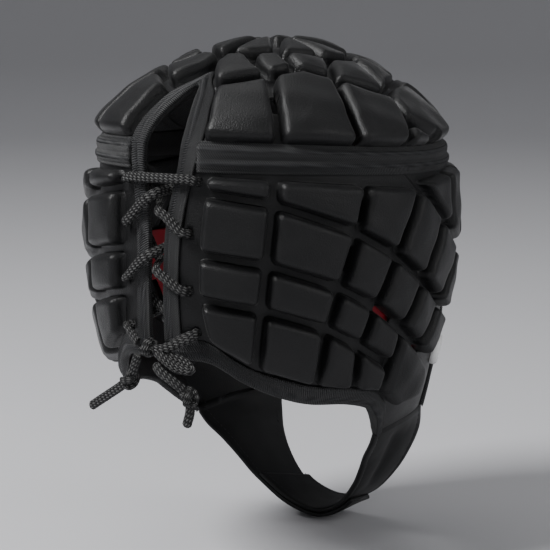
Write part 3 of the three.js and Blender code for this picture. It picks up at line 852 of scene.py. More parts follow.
def swept(name: str, rings: np.ndarray, run: np.ndarray, across: np.ndarray) -> bpy.types.Object:
    """Makes a closed mesh over rings of points.

    Args:
        name: the piece's name.
        rings: stations, by points round each, by 3.
        run: the UV along the rings, one for each station.
        across: the UV round the rings, one for each point.

    Returns:
        The closed mesh.
    """
    points = rings.reshape(-1, 3)
    faces = ring_faces(*rings.shape[:2])
    if volume_of(points, faces) < 0:
        faces = [f[::-1] for f in faces]
    uv = np.stack(np.broadcast_arrays(run[:, None], across[None, :]), -1).reshape(-1, 2)
    return make_mesh(name, points, faces, uv=uv)


def sweep(name: str, rings: np.ndarray) -> bpy.types.Object:
    """Makes a closed section swept along stations, with a UV in millimetres."""
    return swept(name, rings, run_of(rings.mean(1)), run_of(rings[len(rings) // 2]))


class Tape:
    """A tape or strap: swept lines give its mesh and the lines that stitches and ribs follow."""

    name: str
    section: tuple[Pair, ...]

    def lines(self, section: Sequence[Pair]) -> np.ndarray:
        """The swept stations of section points, each given as a place across and a lift."""
        raise NotImplementedError

    def build(self) -> bpy.types.Object:
        """Makes the mesh."""
        return sweep(self.name, self.lines(self.section))

    def seam_line(self, across: float, lift: float) -> SeamLine:
        """Gives a line along it for stitches or ribs.

        Args:
            across: its place across.
            lift: its lift off the cloth; below 0 the line faces inwards.

        Returns:
            The line and its outward directions.
        """
        pair = self.lines([(across, lift), (across, lift + math.copysign(1, lift))])
        return SeamLine(pair[:, 0], unit(pair[:, 1] - pair[:, 0]))


@dataclass(frozen=True)
class Binding(Tape):
    """A ribbed tape folded over a cloth edge, or laid flat along a seam."""

    name: str
    nodes: tuple[str, ...]
    rows: tuple[TapeRow, ...]
    section: tuple[Pair, ...]
    turn_sign: int = 1
    mirrored: bool = False
    per_row: int = 8
    step: float = 1.5
    rib_line: Pair = (0.45, 1.8)
    rib_width: float = 4.4
    stitch_line: Pair = (0.9, 1.45)
    widest: float = 300.0

    def chart_rows(self) -> list[TapeRow]:
        """Every row in order, with the left half first where the tape has both."""
        own = [row.turned(self.turn_sign) for row in self.rows]
        if not self.mirrored:
            return own
        on_mirror = own[0].free[0] in (0, 180)
        return [row.turned(-1) for row in reversed(own[1 if on_mirror else 0 :])] + own

    def lines(self, section: Sequence[Pair]) -> np.ndarray:
        """Gives the swept stations of some section points.

        Args:
            section: the share across from the free edge, and the lift, of each point.

        Returns:
            Stations by section points by 3.
        """
        share = np.array([s for s, _ in section])
        lift = np.array([v for _, v in section])
        groups: list[list[TapeRow]] = []
        for row in self.chart_rows():
            if not groups or groups[-1][-1].chart is not row.chart:
                groups.append([])
            groups[-1].append(row)
        parts = []
        for group in groups:
            edges = np.array([[r.free, r.sewn] for r in group])
            turns = edges[..., 0]
            if group[0].chart is Chart.WALL and np.ptp(turns) > self.widest:
                edges[..., 0] = np.where(turns < 0, turns + 360, turns)
            fine = smooth_line(edges, self.per_row)
            at = fine[:, None, 0] + (fine[:, None, 1] - fine[:, None, 0]) * share[None, :, None]
            spread = np.broadcast_to(lift, at.shape[:2])
            parts.append(HEAD.place(group[0].chart, at[..., 0], at[..., 1], spread))
        whole = np.concatenate(parts)
        steps = round(length_of(whole.mean(1)) / self.step)
        return np.stack([even(whole[:, j], steps) for j in range(whole.shape[1])], 1)


FOLDED_SECTION = (
    (0.0, 0.0), (0.015, 0.8), (0.05, 1.35), (0.12, 1.62), (0.3, 1.8), (0.5, 1.86), (0.7, 1.8),
    (0.85, 1.66), (0.9, 1.45), (0.95, 1.66), (1.06, 1.5), (1.14, 1.1), (1.17, 0.5), (1.15, 0.2),
    (0.96, 0.2), (0.94, -0.6), (0.94, -1.55), (1.3, -1.65), (1.45, -1.8), (1.45, -2.3),
    (0.7, -2.2), (0.3, -1.9), (0.1, -1.8), (0.02, -1.2),
)
SLIT_ROWS = tape_rows(
    Chart.CROWN,
    (0, 43.5, 0, 51.2),
    (1.6, 41, 3.9, 45.4),
    (3, 35.5, 8.2, 38.4),
    (4.5, 28, 9.7, 30),
    (5.5, 19, 10.8, 20),
    (5.7, 9, 10.6, 9.5),
) + tape_rows(
    Chart.WALL,
    (5.3, 2, 9.5, 2),
    (4.2, -8, 8.2, -8),
    (2.9, -19, 6.9, -19),
    (2.2, -33, 6.0, -33),
    (2.0, -54, 5.7, -54),
    (2.1, -77.6, 6.1, -77.6),
)
HEM_ROWS = tape_rows(
    Chart.WALL, (2.4, -85, 2.4, -78.4), (7.5, -86, 7.5, -78.4), (14, -88, 13, -79),
    (21.2, -96.5, 20, -87.4), (27, -101.8, 26, -93.3), (35, -107, 35, -98.5), (45, -110.8, 45, -102.8),
    (60.8, -113, 60.8, -105.8), (75, -117.2, 76.2, -109.5), (80.5, -121.2, 83, -114.2),
    (87.3, -127, 90.4, -119.6), (94.2, -132, 98, -127.4), (99.6, -135.2, 104.6, -134.9),
)
FACE_ROWS = tape_rows(
    Chart.WALL, (180, -38.6, 180, -33.6), (165.5, -42, 165.5, -37), (152.5, -45.4, 151.4, -40.2),
    (148, -48.8, 145.5, -43.4), (145, -54.8, 141.2, -47.6), (143.6, -62, 139.7, -60),
    (141.6, -76, 138, -76), (140.6, -95.6, 137, -96.6), (143.4, -106, 140, -107.8),
    (147.2, -116.5, 144, -117.8), (149.3, -124.8, 146.2, -125), (151, -132.4, 148, -132.5),
)


SEAM_STRIP = ((82, -5.5), (87.8, -10.8), (105, -28.2), (122, -46), (131, -49.6), (140, -45), (150, -40))
STRIP_HALF = (1.6, 2.8)
STRIP_SECTION = ((0.0, -0.5), (0.5, -0.35), (1.0, -0.5), (1.0, -1.3), (0.5, -1.3), (0.0, -1.3))


def strip_rows() -> tuple[TapeRow, ...]:
    """The rows of the cloth that joins the brow to a side."""
    across, down = STRIP_HALF
    return tuple(
        TapeRow((turn + across, level + down), (turn - across, level - down))
        for turn, level in SEAM_STRIP
    )


@dataclass(frozen=True)
class BandTape(Tape):
    """The ribbed tape round the head between crown and sides."""

    name: str = "band_tape_looks"
    starts: float = 10.7
    steps: int = 300
    rib_lines: tuple[Pair, ...] = ((2.8, 2.2), (-2.2, 2.15))
    rib_width: float = 2.9
    stitch_lines: tuple[Pair, ...] = ((5.0, 1.3), (-4.9, 1.2))
    section: tuple[Pair, ...] = (
        (-6.5, 0.2), (-6.45, 0.9), (-6.1, 1.25), (-5.3, 1.45), (-4.9, 1.2), (-4.5, 1.6), (-3.6, 2.0),
        (-2.2, 2.2), (-0.8, 2.0), (-0.2, 1.5), (0.2, 1.35), (0.6, 1.6), (1.2, 2.0), (2.8, 2.25),
        (4.2, 2.0), (4.7, 1.6), (5.0, 1.3), (5.4, 1.5), (6.0, 1.2), (6.2, 0.7), (6.2, 0.2),
        (4.0, 0.15), (3.6, -1.5), (6.6, -1.7), (6.6, -2.4), (1.8, -2.0), (-1.8, -2.0), (-6.8, -2.4),
        (-6.8, -1.7), (-3.6, -1.5), (-4.2, 0.15),
    )

    def lines(self, section: Sequence[Pair]) -> np.ndarray:
        """The swept stations of section points given as height over the seam and lift."""
        turns = np.linspace(self.starts, 360 - self.starts, self.steps + 1)
        rings = []
        for height, lift in section:
            if height <= 0:
                level = HEAD.seam_level(turns) + height * 100 / HEAD.drop
                rings.append(HEAD.place(Chart.WALL, turns, level, lift))
            else:
                climb = HEAD.climb_for(np.full_like(turns, height))
                rings.append(HEAD.place(Chart.CROWN, turns, climb, lift))
        return np.stack(rings, 1)


@dataclass(frozen=True)
class StrapSection:
    """A section of the strap: its rear and front edge as shares and a level."""

    rear: Station
    front: Station


STRAP_SECTIONS = (
    StrapSection((-0.612, -0.118, -142.5), (-0.534, -0.746, -144)),
    StrapSection((-0.526, -0.175, -150.5), (-0.492, -0.718, -154.5)),
    StrapSection((-0.447, -0.242, -159), (-0.403, -0.705, -166)),
    StrapSection((-0.355, -0.299, -169), (-0.27, -0.693, -177.2)),
    StrapSection((-0.197, -0.361, -181), (-0.132, -0.689, -182.6)),
    StrapSection((0, -0.392, -186.4), (0, -0.687, -184.4)),
)


@dataclass(frozen=True)
class ChinStrap(Tape):
    """One half of the strap under the chin; the left half laps outside the right one."""

    side: Side
    foot_rear: Pair = (99.8, -135.7)
    foot_front: Pair = (150.8, -133.05)
    thick: float = 2.4
    right_ends: float = 8.0
    left_starts: float = 4.5
    lap_gap: float = 0.1
    tuck: float = 3.0
    fold_depth: float = 1.5
    fold_at: float = 0.48
    fold_width: float = 0.1
    fold_ends: float = 4.2
    end_narrows: float = 0.16
    end_reach: float = 0.9
    eases_from: float = 8.3
    eases_to: float = 10.7
    inside_at: Pair = (-0.41, -1.5)
    across: int = 25
    per_section: int = 12
    section: tuple[Pair, ...] = (
        (0.0, 0.0), (0.006, 0.65), (0.02, 1.02), (0.05, 1.2), (0.085, 1.2), (0.1, 0.98), (0.115, 1.2),
        (0.3, 1.2), (0.37, 1.2), (0.43, 1.2), (0.48, 1.2), (0.53, 1.2), (0.6, 1.2), (0.7, 1.2),
        (0.885, 1.2), (0.9, 0.98), (0.915, 1.2), (0.95, 1.2), (0.98, 1.02), (0.994, 0.65), (1.0, 0.0),
        (0.994, -0.65), (0.98, -1.02), (0.95, -1.2), (0.7, -1.2), (0.5, -1.2), (0.3, -1.2),
        (0.05, -1.2), (0.02, -1.02), (0.006, -0.65),
    )

    @property
    def name(self) -> str:
        """The name of the half's looks."""
        return "chin_strap_cloth_" + self.side.word

    @property
    def last(self) -> int:
        """The number of the left foot's section."""
        return 2 * len(STRAP_SECTIONS)

    def section_line(self, k: int) -> np.ndarray:
        """The points across section k of the whole loop, from its rear to its front edge."""
        left = k > self.last / 2
        i = self.last - k if left else k
        share = np.linspace(0, 1, self.across)[:, None]
        if i == 0:
            at = np.array(self.foot_rear) * (1 - share) + np.array(self.foot_front) * share
            line = HEAD.place(Chart.WALL, at[:, 0], at[:, 1], 0.0)
        else:
            row = STRAP_SECTIONS[i - 1]
            at = np.array(row.rear) * (1 - share) + np.array(row.front) * share
            sizes = [HEAD.half_width, HEAD.half_length, HEAD.drop / 100]
            line = at * np.array(sizes) - np.array([0, 0, HEAD.head_top])
        return line * FLIP if left else line

    def lines(self, section: Sequence[Pair]) -> np.ndarray:
        """Gives the swept stations of the half.

        Args:
            section: the share across and the offset of each point of its section.

        Returns:
            Stations by section points by 3.
        """
        outer = self.side is Side.LEFT
        start, end = (self.left_starts, self.last) if outer else (0, self.right_ends)
        grid = smooth_line(
            np.array([self.section_line(k) for k in range(self.last + 1)]), self.per_section
        )
        k = np.arange(len(grid)) / self.per_section
        normal = unit(np.cross(np.gradient(grid, axis=0), np.gradient(grid, axis=1)))
        along, level = self.inside_at
        middle = np.array([0, along * HEAD.half_length, level * HEAD.drop - HEAD.head_top])
        facing = ((grid - middle) * normal).sum(-1, keepdims=True)
        normal = np.where(facing < 0, -normal, normal)
        for foot, inward in ((0, 1), (-1, -2)):
            up = unit(grid[foot] - grid[inward])
            grid[foot] += self.tuck * up - self.thick * normal[foot]
        keep = (k >= start - LEAST) & (k <= end + LEAST)
        ease = np.clip((k - self.eases_from) / (self.eases_to - self.eases_from), 0, 1)
        ease = 1 - ease**2 * (3 - 2 * ease)
        base = (self.thick + self.lap_gap) * ease if outer else np.zeros_like(k)
        near = np.minimum(k, self.last - k)
        fold = self.fold_depth * np.clip(np.minimum(near, self.fold_ends - near), 0, 1)
        snug = 1 - self.end_narrows * (1 - np.clip((k - start) / self.end_reach, 0, 1)) * outer
        centre = grid[:, self.across // 2]
        at = np.linspace(0, 1, self.across)
        rings = []
        for share, offset in section:
            sunk = fold * math.exp(-(((share - self.fold_at) / self.fold_width) ** 2))
            i = min(int(share * (self.across - 1)), self.across - 2)
            s = (share - at[i]) * (self.across - 1)
            point = grid[:, i] * (1 - s) + grid[:, i + 1] * s
            point = centre + (point - centre) * snug[:, None]
            out = unit(normal[:, i] * (1 - s) + normal[:, i + 1] * s)
            rings.append(point + out * (base + offset - sunk)[:, None])
        return np.stack(rings, 1)[keep]


@dataclass(frozen=True)
class Lace:
    """A braided cord that follows a line."""

    across: float = 4.6
    flatness: float = 0.66
    sides: int = 20
    step: float = 0.55
    strands: int = 10
    braid_pitch: float = 2.4
    braid_depth: float = 0.12
    settle: float = 0.12
    wrap_scale: float = 0.9
    wrap_points: int = 160
    knot_points: int = 240
    knot_reach: int = 4
    knot_side: Station = (0.3, 0.8, 0.5)
    knot_start: float = 0.4
    upright: float = 0.3
    end_round: float = 0.3

    def tube(self, name: str, line: np.ndarray, scale: float = 1.0) -> bpy.types.Object:
        """Makes a braided tube along a line.

        Args:
            name: the piece's name.
            line: the line's points.
            scale: the tube's size as a share of the lace.

        Returns:
            The closed mesh, with a UV of the run along it and round it.
        """
        n, k = len(line), self.sides
        tangent = unit(np.gradient(line, axis=0))
        normal = np.zeros_like(line)
        start = np.array([line[0][0], line[0][1], 0.0])
        if np.linalg.norm(np.cross(unit(start), tangent[0])) < self.upright:
            start = UP
        before = start
        for i in range(n):
            outward = unit(line[i] * np.array([1.0, 1.0, 0.0]))
            pull = outward - tangent[i] * (outward @ tangent[i])
            pull = -pull if pull @ before < 0 else pull
            before = unit(before - tangent[i] * (before @ tangent[i]) + self.settle * pull)
            normal[i] = before
        side = np.cross(tangent, normal)
        run = np.arange(n) * length_of(line) / max(1, n - 1)
        angle = np.arange(k) / k
        a = self.strands * angle[None, :] + run[:, None] / self.braid_pitch
        b = self.strands * angle[None, :] - run[:, None] / self.braid_pitch
        over = (np.floor(a) + np.floor(b)) % 2 == 0
        ridge = np.where(over, np.abs(np.sin(np.pi * a)), np.abs(np.sin(np.pi * b)))
        radius = scale * (self.across / 2 - self.braid_depth + self.braid_depth * ridge)
        round_end = np.minimum(run, run[-1] - run) / (self.end_round * self.across)
        ends = np.clip(1 - (1 - np.minimum(1, round_end)) ** 2, self.end_round, 1)
        radius = radius * np.sqrt(ends)[:, None]
        turn = 2 * np.pi * angle[None, :, None]
        ring = np.cos(turn) * side[:, None] + np.sin(turn) * self.flatness * normal[:, None]
        return swept(name, line[:, None] + ring * radius[..., None], run, angle)

    def wrap(
        self, name: str, centre: np.ndarray, axis: np.ndarray, size: Pair, turns: float
    ) -> bpy.types.Object:
        """Makes the turns of lace that hold a bundle together.

        Args:
            name: the piece's name.
            centre: the middle of the turns.
            axis: the direction of the bundle.
            size: the radius of the turns, and how far they advance along the bundle.
            turns: how many turns there are.

        Returns:
            The closed mesh.
        """
        radius, advance = size
        t = np.linspace(0, 2 * np.pi * turns, self.wrap_points)
        along = unit(axis)
        x = unit(np.cross(along, UP))
        y = np.cross(along, x)
        line = (
            centre
            + radius * (np.cos(t)[:, None] * x + np.sin(t)[:, None] * y)
            + (t / t[-1] - 0.5)[:, None] * advance * along
        )
        return self.tube(name, even(line, round(length_of(line) / self.step)), self.wrap_scale)

    def knot(
        self, name: str, centre: np.ndarray, axis: np.ndarray, size: Station, scale: float
    ) -> bpy.types.Object:
        """Makes a pulled-tight knot as a trefoil of cord.

        Args:
            name: the piece's name.
            centre: its middle.
            axis: the direction of the cord that it is tied in.
            size: the radius of its ring, of its waves, and half its height.
            scale: the cord's size there as a share of the lace.

        Returns:
            The closed mesh.
        """
        ring, wave, rise = size
        t = np.linspace(0, 2 * np.pi, self.knot_points) + self.knot_start
        reach = ring + wave * np.cos(3 * t)
        up = unit(axis)
        x = unit(np.cross(up, np.array(self.knot_side)))
        y = np.cross(up, x)
        line = (
            centre
            + (reach * np.cos(2 * t))[:, None] * x
            + (reach * np.sin(2 * t))[:, None] * y
            + (rise * np.sin(3 * t))[:, None] * up
        )
        return self.tube(name, even(line[:-2], round(length_of(line) / self.step)), scale)


LACE = Lace()
OVER = 4.4
UNDER = -4.3


# A dive through a hole: the share of the hole's turn, the levels above it, and the lift
DIVE = (
    (0.84, 0.8, OVER), (0.985, 0.1, OVER - 1.2), (1, 0, OVER - 5), (0.97, -0.7, UNDER + 0.5),
    (0.88, -2, UNDER - 0.2),
)


def dive(hole: Pair) -> list[Station]:
    """The stations of a lace that comes over the tape and goes down through a hole."""
    return [(hole[0] * share, hole[1] + above, lift) for share, above, lift in DIVE]


def emerge(hole: Pair) -> list[Station]:
    """The stations of a lace that comes up through a hole from a run above it."""
    return [(t, 2 * hole[1] - level, lift) for t, level, lift in reversed(dive(hole))]


def lace_stations() -> list[Station]:
    """The whole laced run, from one end at the knot to the other."""
    right_1, right_2, right_3, right_4 = EYELETS[Side.RIGHT]
    left_1, left_2, left_3, left_4 = [(-t, level) for t, level in EYELETS[Side.LEFT]]
    route_a = [
        *dive(left_1), (-5, -10.5, UNDER), (-2.6, -13.5, UNDER - 0.4), (-1, -15.6, -3.2),
        (0.2, -17.4, 1), (1.2, -18.8, OVER), (3.2, -20.8, OVER + 0.2), *dive(right_2),
        (3.6, -33.4, UNDER - 0.5), (1.0, -35.4, -3.9), (0.2, -37, 0.8), (-1.2, -38.9, OVER + 0.3),
        (-3.2, -41.6, OVER + 0.6), *dive(left_3), (-5.2, -57, UNDER), (0, -63.5, UNDER),
        (5.2, -69.5, UNDER), *emerge(right_4), (6.4, -76.4, OVER + 0.6), (4.7, -78.1, OVER + 1.6),
    ]
    route_b = [
        *dive(right_1), (5, -8.2, UNDER - 0.1), (3.2, -8.8, -4.5), (1.4, -9.6, -1), (0.4, -10.9, OVER),
        (-1.2, -13.2, OVER + 1.8), (-3.8, -16.2, OVER + 0.8), *dive(left_2), (-5.4, -32, UNDER - 0.4),
        (-2.8, -38.4, UNDER - 0.5), (-1.1, -41, -4.6), (0, -43.2, 0.2), (1.2, -45.2, OVER - 0.1),
        (3.4, -48.2, OVER + 0.3), *dive(right_3), (4.6, -59.4, UNDER - 1), (0.6, -62.6, -9.6),
        (-4, -66, -6.5), *emerge(left_4), (-5.6, -76, OVER + 0.8), (-3.5, -78.3, OVER + 1.8),
    ]
    bar = [(-4, -4.4, OVER + 0.4), (4, -4.2, OVER + 0.4)]
    return [*reversed(route_a), *bar, *route_b]


@dataclass(frozen=True)
class FreeEnd:
    """A free end of the lace, with a knot near its tip."""

    side: Side
    stations: tuple[Station, ...]
    knot_at: Station
    far_end: str


FREE_ENDS = (
    FreeEnd(
        Side.RIGHT,
        (
            (2.2, -84.9, 12.7), (3.6, -87.6, 14.9), (6.5, -92, 16), (8.5, -97, 15.6),
            (8.3, -103.7, 15), (6.9, -111.3, 14.8),
        ),
        (8.5, -97.6, 15.6),
        "knot",
    ),
    FreeEnd(
        Side.LEFT,
        (
            (-2.7, -83.1, 8), (-4.3, -89.1, 8), (-5.7, -94.2, 8.5), (-8.3, -98.1, 10.6),
            (-12.4, -102.7, 15.7), (-16.3, -106.7, 21.7),
        ),
        (-6, -95, 8.7),
        "bare",
    ),
)
FOLD = (9.6, -86, 13.8)
FOLDED_LOOP = (
    (1.3, -80.4, 7.4), (3.8, -83.4, 9.8), (6.5, -85.8, 12.6), FOLD, (8.2, -84.3, 10.2),
    (5.2, -82.5, 8), (1.6, -80, 6.6),
)
SECOND_STRAND = (
    (0.8, -80.2, 7.6), (3.8, -79.0, 8.0), (6.6, -76.6, 7.4), (9.2, -74.6, 5.2), (10.4, -73.6, 1.5),
    (10.5, -73.4, -1.5),
)
KNOT_AT = (-0.2, -79.6, 6.4)
KNOT_AXIS = (-1.0, 0.1, -0.25)
KNOT_SIZE = (3.1, 3.4)
KNOT_TURNS = 1.7
END_KNOT_SIZE = (1.9, 1.1, 2.8)
END_KNOT_SCALE = 0.72


def lace_line(stops: Sequence[Station]) -> np.ndarray:
    """The smooth line of a lace through its stations."""
    return centripetal(np.array([HEAD.station(stop) for stop in stops]), LACE.step)


class NodeMaker:
    """Adds and links nodes in one tree."""

    def __init__(self, tree: bpy.types.NodeTree) -> None:
        """Keeps the tree to work on."""
        self.tree = tree

    def add(self, kind: str, values: dict | None = None, **settings: object) -> bpy.types.Node:
        """Adds a node.

        Args:
            kind: the node's type name.
            values: values or source sockets for its inputs, by name or number.
            settings: the node's own settings.

        Returns:
            The node.
        """
        node = self.tree.nodes.new(kind)
        for key, value in settings.items():
            setattr(node, key, value)
        for key, value in (values or {}).items():
            if isinstance(value, bpy.types.NodeSocket):
                self.tree.links.new(value, node.inputs[key])
            else:
                node.inputs[key].default_value = value
        return node

    def math(self, operation: str, a: object, b: object = 0.0, c: object = 0.0) -> bpy.types.NodeSocket:
        """Adds one calculation and returns its result."""
        return self.add("ShaderNodeMath", {0: a, 1: b, 2: c}, operation=operation).outputs[0]


def new_material(name: str) -> tuple[bpy.types.Material, NodeMaker]:
    """Starts a material without nodes, and gives it with its node maker."""
    material = bpy.data.materials.new(name)
    material.use_nodes = True
    material.node_tree.nodes.clear()
    return material, NodeMaker(material.node_tree)


def new_group(
    name: str, kind: str, inputs: Sequence[tuple[str, str]], outputs: Sequence[tuple[str, str]]
) -> tuple[bpy.types.NodeTree, NodeMaker, bpy.types.Node, bpy.types.Node]:
    """Starts a node group.

    Args:
        name: the group's name.
        kind: the tree's type name.
        inputs: the name and socket type of each input.
        outputs: the name and socket type of each output.

    Returns:
        The tree, its node maker, and its input and output node.
    """
    tree = bpy.data.node_groups.new(name, kind)
    for label, socket in inputs:
        tree.interface.new_socket(label, in_out="INPUT", socket_type=socket)
    for label, socket in outputs:
        tree.interface.new_socket(label, in_out="OUTPUT", socket_type=socket)
    maker = NodeMaker(tree)
    return tree, maker, maker.add("NodeGroupInput"), maker.add("NodeGroupOutput")


MIX_SHARE, MIX_A, MIX_B, MIX_RESULT = 0, 6, 7, 2  # a Mix node's sockets for colours
FLOAT, VECTOR = "NodeSocketFloat", "NodeSocketVector"


def grain_group() -> bpy.types.NodeTree:
    """Builds the fine knit with soft mottling, on any coordinates."""
    tree, make, given, out = new_group(
        "knit_grain", "ShaderNodeTree",
        [("Coordinates", VECTOR), ("Knit Scale", FLOAT), ("Mottle Scale", FLOAT), ("Mottle", FLOAT)],
        [("Height", FLOAT), ("Shade", FLOAT)],
    )
    knit = make.add(
        "ShaderNodeTexNoise",
        {"Vector": given.outputs["Coordinates"], "Scale": given.outputs["Knit Scale"], "Detail": 2.0},
    )
    cloud = make.add(
        "ShaderNodeTexNoise",
        {"Vector": given.outputs["Coordinates"], "Scale": given.outputs["Mottle Scale"], "Detail": 3.0},
    )
    centred = make.math("SUBTRACT", cloud.outputs["Fac"], 0.5)
    shade = make.math("MULTIPLY_ADD", centred, given.outputs["Mottle"], 1.0)
    tree.links.new(knit.outputs["Fac"], out.inputs["Height"])
    tree.links.new(shade, out.inputs["Shade"])
    return tree


def twill_group() -> bpy.types.NodeTree:
    """Builds the slanted ribs of a woven tape, on a UV in millimetres, and a mask that paints a
    highlight on their crests.
    """
    tree, make, given, out = new_group(
        "tape_twill", "ShaderNodeTree", [("UV", VECTOR), ("Pitch", FLOAT), ("Slant", FLOAT)],
        [("Height", FLOAT), ("Light", FLOAT)],
    )
    parts = make.add("ShaderNodeSeparateXYZ", {0: given.outputs["UV"]})
    slanted = make.math("MULTIPLY_ADD", parts.outputs["Y"], given.outputs["Slant"], parts.outputs["X"])
    phase = make.math("DIVIDE", slanted, given.outputs["Pitch"])
    wave = make.math("SINE", make.math("MULTIPLY", phase, 2 * math.pi))
    height = make.math("MULTIPLY_ADD", wave, 0.5, 0.5)
    tree.links.new(height, out.inputs["Height"])
    # the squared rib height masks a painted highlight on the crests
    tree.links.new(make.math("POWER", height, 2.0), out.inputs["Light"])
    return tree


def braid_group() -> bpy.types.NodeTree:
    """Builds the plait of a lace with its light flecks, on a UV of millimetres and turns."""
    tree, make, given, out = new_group(
        "lace_braid", "ShaderNodeTree", [("UV", VECTOR), ("Strands", FLOAT), ("Pitch", FLOAT)],
        [("Height", FLOAT), ("Fleck", FLOAT)],
    )
    parts = make.add("ShaderNodeSeparateXYZ", {0: given.outputs["UV"]})
    run = make.math("DIVIDE", parts.outputs["X"], given.outputs["Pitch"])
    turns = make.math("MULTIPLY", parts.outputs["Y"], given.outputs["Strands"])
    a, b = make.math("ADD", turns, run), make.math("SUBTRACT", turns, run)
    steps = make.math("ADD", make.math("FLOOR", a), make.math("FLOOR", b))
    odd = make.math("FLOORED_MODULO", steps, 2.0)
    wave_a = make.math("ABSOLUTE", make.math("SINE", make.math("MULTIPLY", a, math.pi)))
    wave_b = make.math("ABSOLUTE", make.math("SINE", make.math("MULTIPLY", b, math.pi)))
    blend = make.add("ShaderNodeMix", {0: odd, 2: wave_a, 3: wave_b}, data_type="FLOAT").outputs[0]
    crest = make.math("POWER", wave_a, 3.0)
    fleck = make.math("MULTIPLY", crest, make.math("SUBTRACT", 1.0, odd))
    tree.links.new(blend, out.inputs["Height"])
    tree.links.new(fleck, out.inputs["Fleck"])
    return tree


class Pattern(Enum):
    """What a finish is patterned with."""

    KNIT = "knit"
    TWILL = "twill"
    BRAID = "braid"


@dataclass(frozen=True)
class Finish:
    """One finish of the cap."""

    name: str
    pattern: Pattern
    color: Station
    roughness: float
    # light is the colour of the lace's pale flecks, and of the painted highlight on twill rib crests
    light: Station = (0.0, 0.0, 0.0)
    relief: float = 3.0
    sheen: float = 0.0
    sheen_roughness: float = 0.4
    specular: float = 0.5
    knit_scale: float = 2600.0
    mottle_scale: float = 90.0
    mottle: float = 0.5
    bump: float = 0.25
    bump_distance: float = 0.00008
    pitch: float = 1.2
    slant: float = 0.7
    strands: float = 10.0

    def build(self, groups: dict[Pattern, bpy.types.NodeTree]) -> bpy.types.Material:
        """Makes the material.

        Args:
            groups: the shared node group of each pattern.

        Returns:
            The material.
        """
        material, make = new_material(self.name)
        material.diffuse_color = (*self.color, 1)
        grain = make.add(
            "ShaderNodeGroup",
            {
                "Coordinates": make.add("ShaderNodeTexCoord").outputs["Object"],
                "Knit Scale": self.knit_scale,
                "Mottle Scale": self.mottle_scale,
                "Mottle": self.mottle,
            },
            node_tree=groups[Pattern.KNIT],
        )
        height = grain.outputs["Height"]
        color = make.add(
            "ShaderNodeMix", {MIX_SHARE: 1.0, MIX_A: (*self.color, 1), MIX_B: grain.outputs["Shade"]},
            data_type="RGBA", blend_type="MULTIPLY",
        ).outputs[MIX_RESULT]
        if self.pattern is not Pattern.KNIT:
            uv = make.add("ShaderNodeUVMap", uv_map="cloth_mm").outputs["UV"]
            twill = self.pattern is Pattern.TWILL
            own = {"Slant": self.slant} if twill else {"Strands": self.strands}
            woven = make.add(
                "ShaderNodeGroup", {"UV": uv, "Pitch": self.pitch, **own},
                node_tree=groups[self.pattern],
            )
            height = make.math("MULTIPLY_ADD", woven.outputs["Height"], self.relief, height)
            # on twill the mask paints a highlight on the rib crests; on braid it marks the lace's pale
            # flecks
            mask = woven.outputs["Light" if twill else "Fleck"]
            highlight_or_fleck = {MIX_SHARE: mask, MIX_A: color, MIX_B: (*self.light, 1)}
            color = make.add("ShaderNodeMix", highlight_or_fleck, data_type="RGBA").outputs[MIX_RESULT]
        bump = make.add(
            "ShaderNodeBump", {"Height": height, "Strength": self.bump, "Distance": self.bump_distance},
        )
        rough = make.math("MULTIPLY", grain.outputs["Shade"], self.roughness)
        surface = make.add(
            "ShaderNodeBsdfPrincipled",
            {
                "Base Color": color,
                "Roughness": rough,
                "Normal": bump.outputs["Normal"],
                "Specular IOR Level": self.specular,
                "Sheen Weight": self.sheen,
                "Sheen Roughness": self.sheen_roughness,
            },
        )
        make.add("ShaderNodeOutputMaterial", {"Surface": surface.outputs[0]})
        return material


FINISHES = (
    Finish(
        "padded_cloth", Pattern.KNIT, (0.0036, 0.0037, 0.0041), 0.44, sheen=0.09, sheen_roughness=0.3,
        specular=0.3, knit_scale=1500.0, mottle_scale=60.0, bump=0.85, bump_distance=0.0003,
    ),
    # the ribbed tape's light colour is a painted highlight on its twill crests
    Finish(
        "ribbed_tape", Pattern.TWILL, (0.0045, 0.0047, 0.0052), 0.6, light=(0.026, 0.027, 0.029),
        sheen=0.08, specular=0.35, bump=0.9, bump_distance=0.0003, pitch=1.05,
    ),
    Finish(
        "strap_cloth", Pattern.KNIT, (0.0036, 0.0038, 0.0042), 0.55, sheen=0.03, specular=0.3
    ),
    # the lining is red; its colour is darkened further as painted shade inside the cap
    Finish("red_lining", Pattern.KNIT, (0.36, 0.004, 0.018), 0.7, sheen=0.05),
    Finish(
        "lace", Pattern.BRAID, (0.006, 0.006, 0.0065), 0.6, light=(0.1, 0.1, 0.098), specular=0.3,
        bump=0.8, bump_distance=0.0003, pitch=2.4,
    ),
    Finish(
        "white_disc", Pattern.KNIT, (0.85, 0.85, 0.84), 0.35, mottle=0.06, knit_scale=900.0, bump=0.05
    ),
    Finish("seam_thread", Pattern.KNIT, (0.022, 0.0225, 0.0245), 0.5, specular=0.35),
)


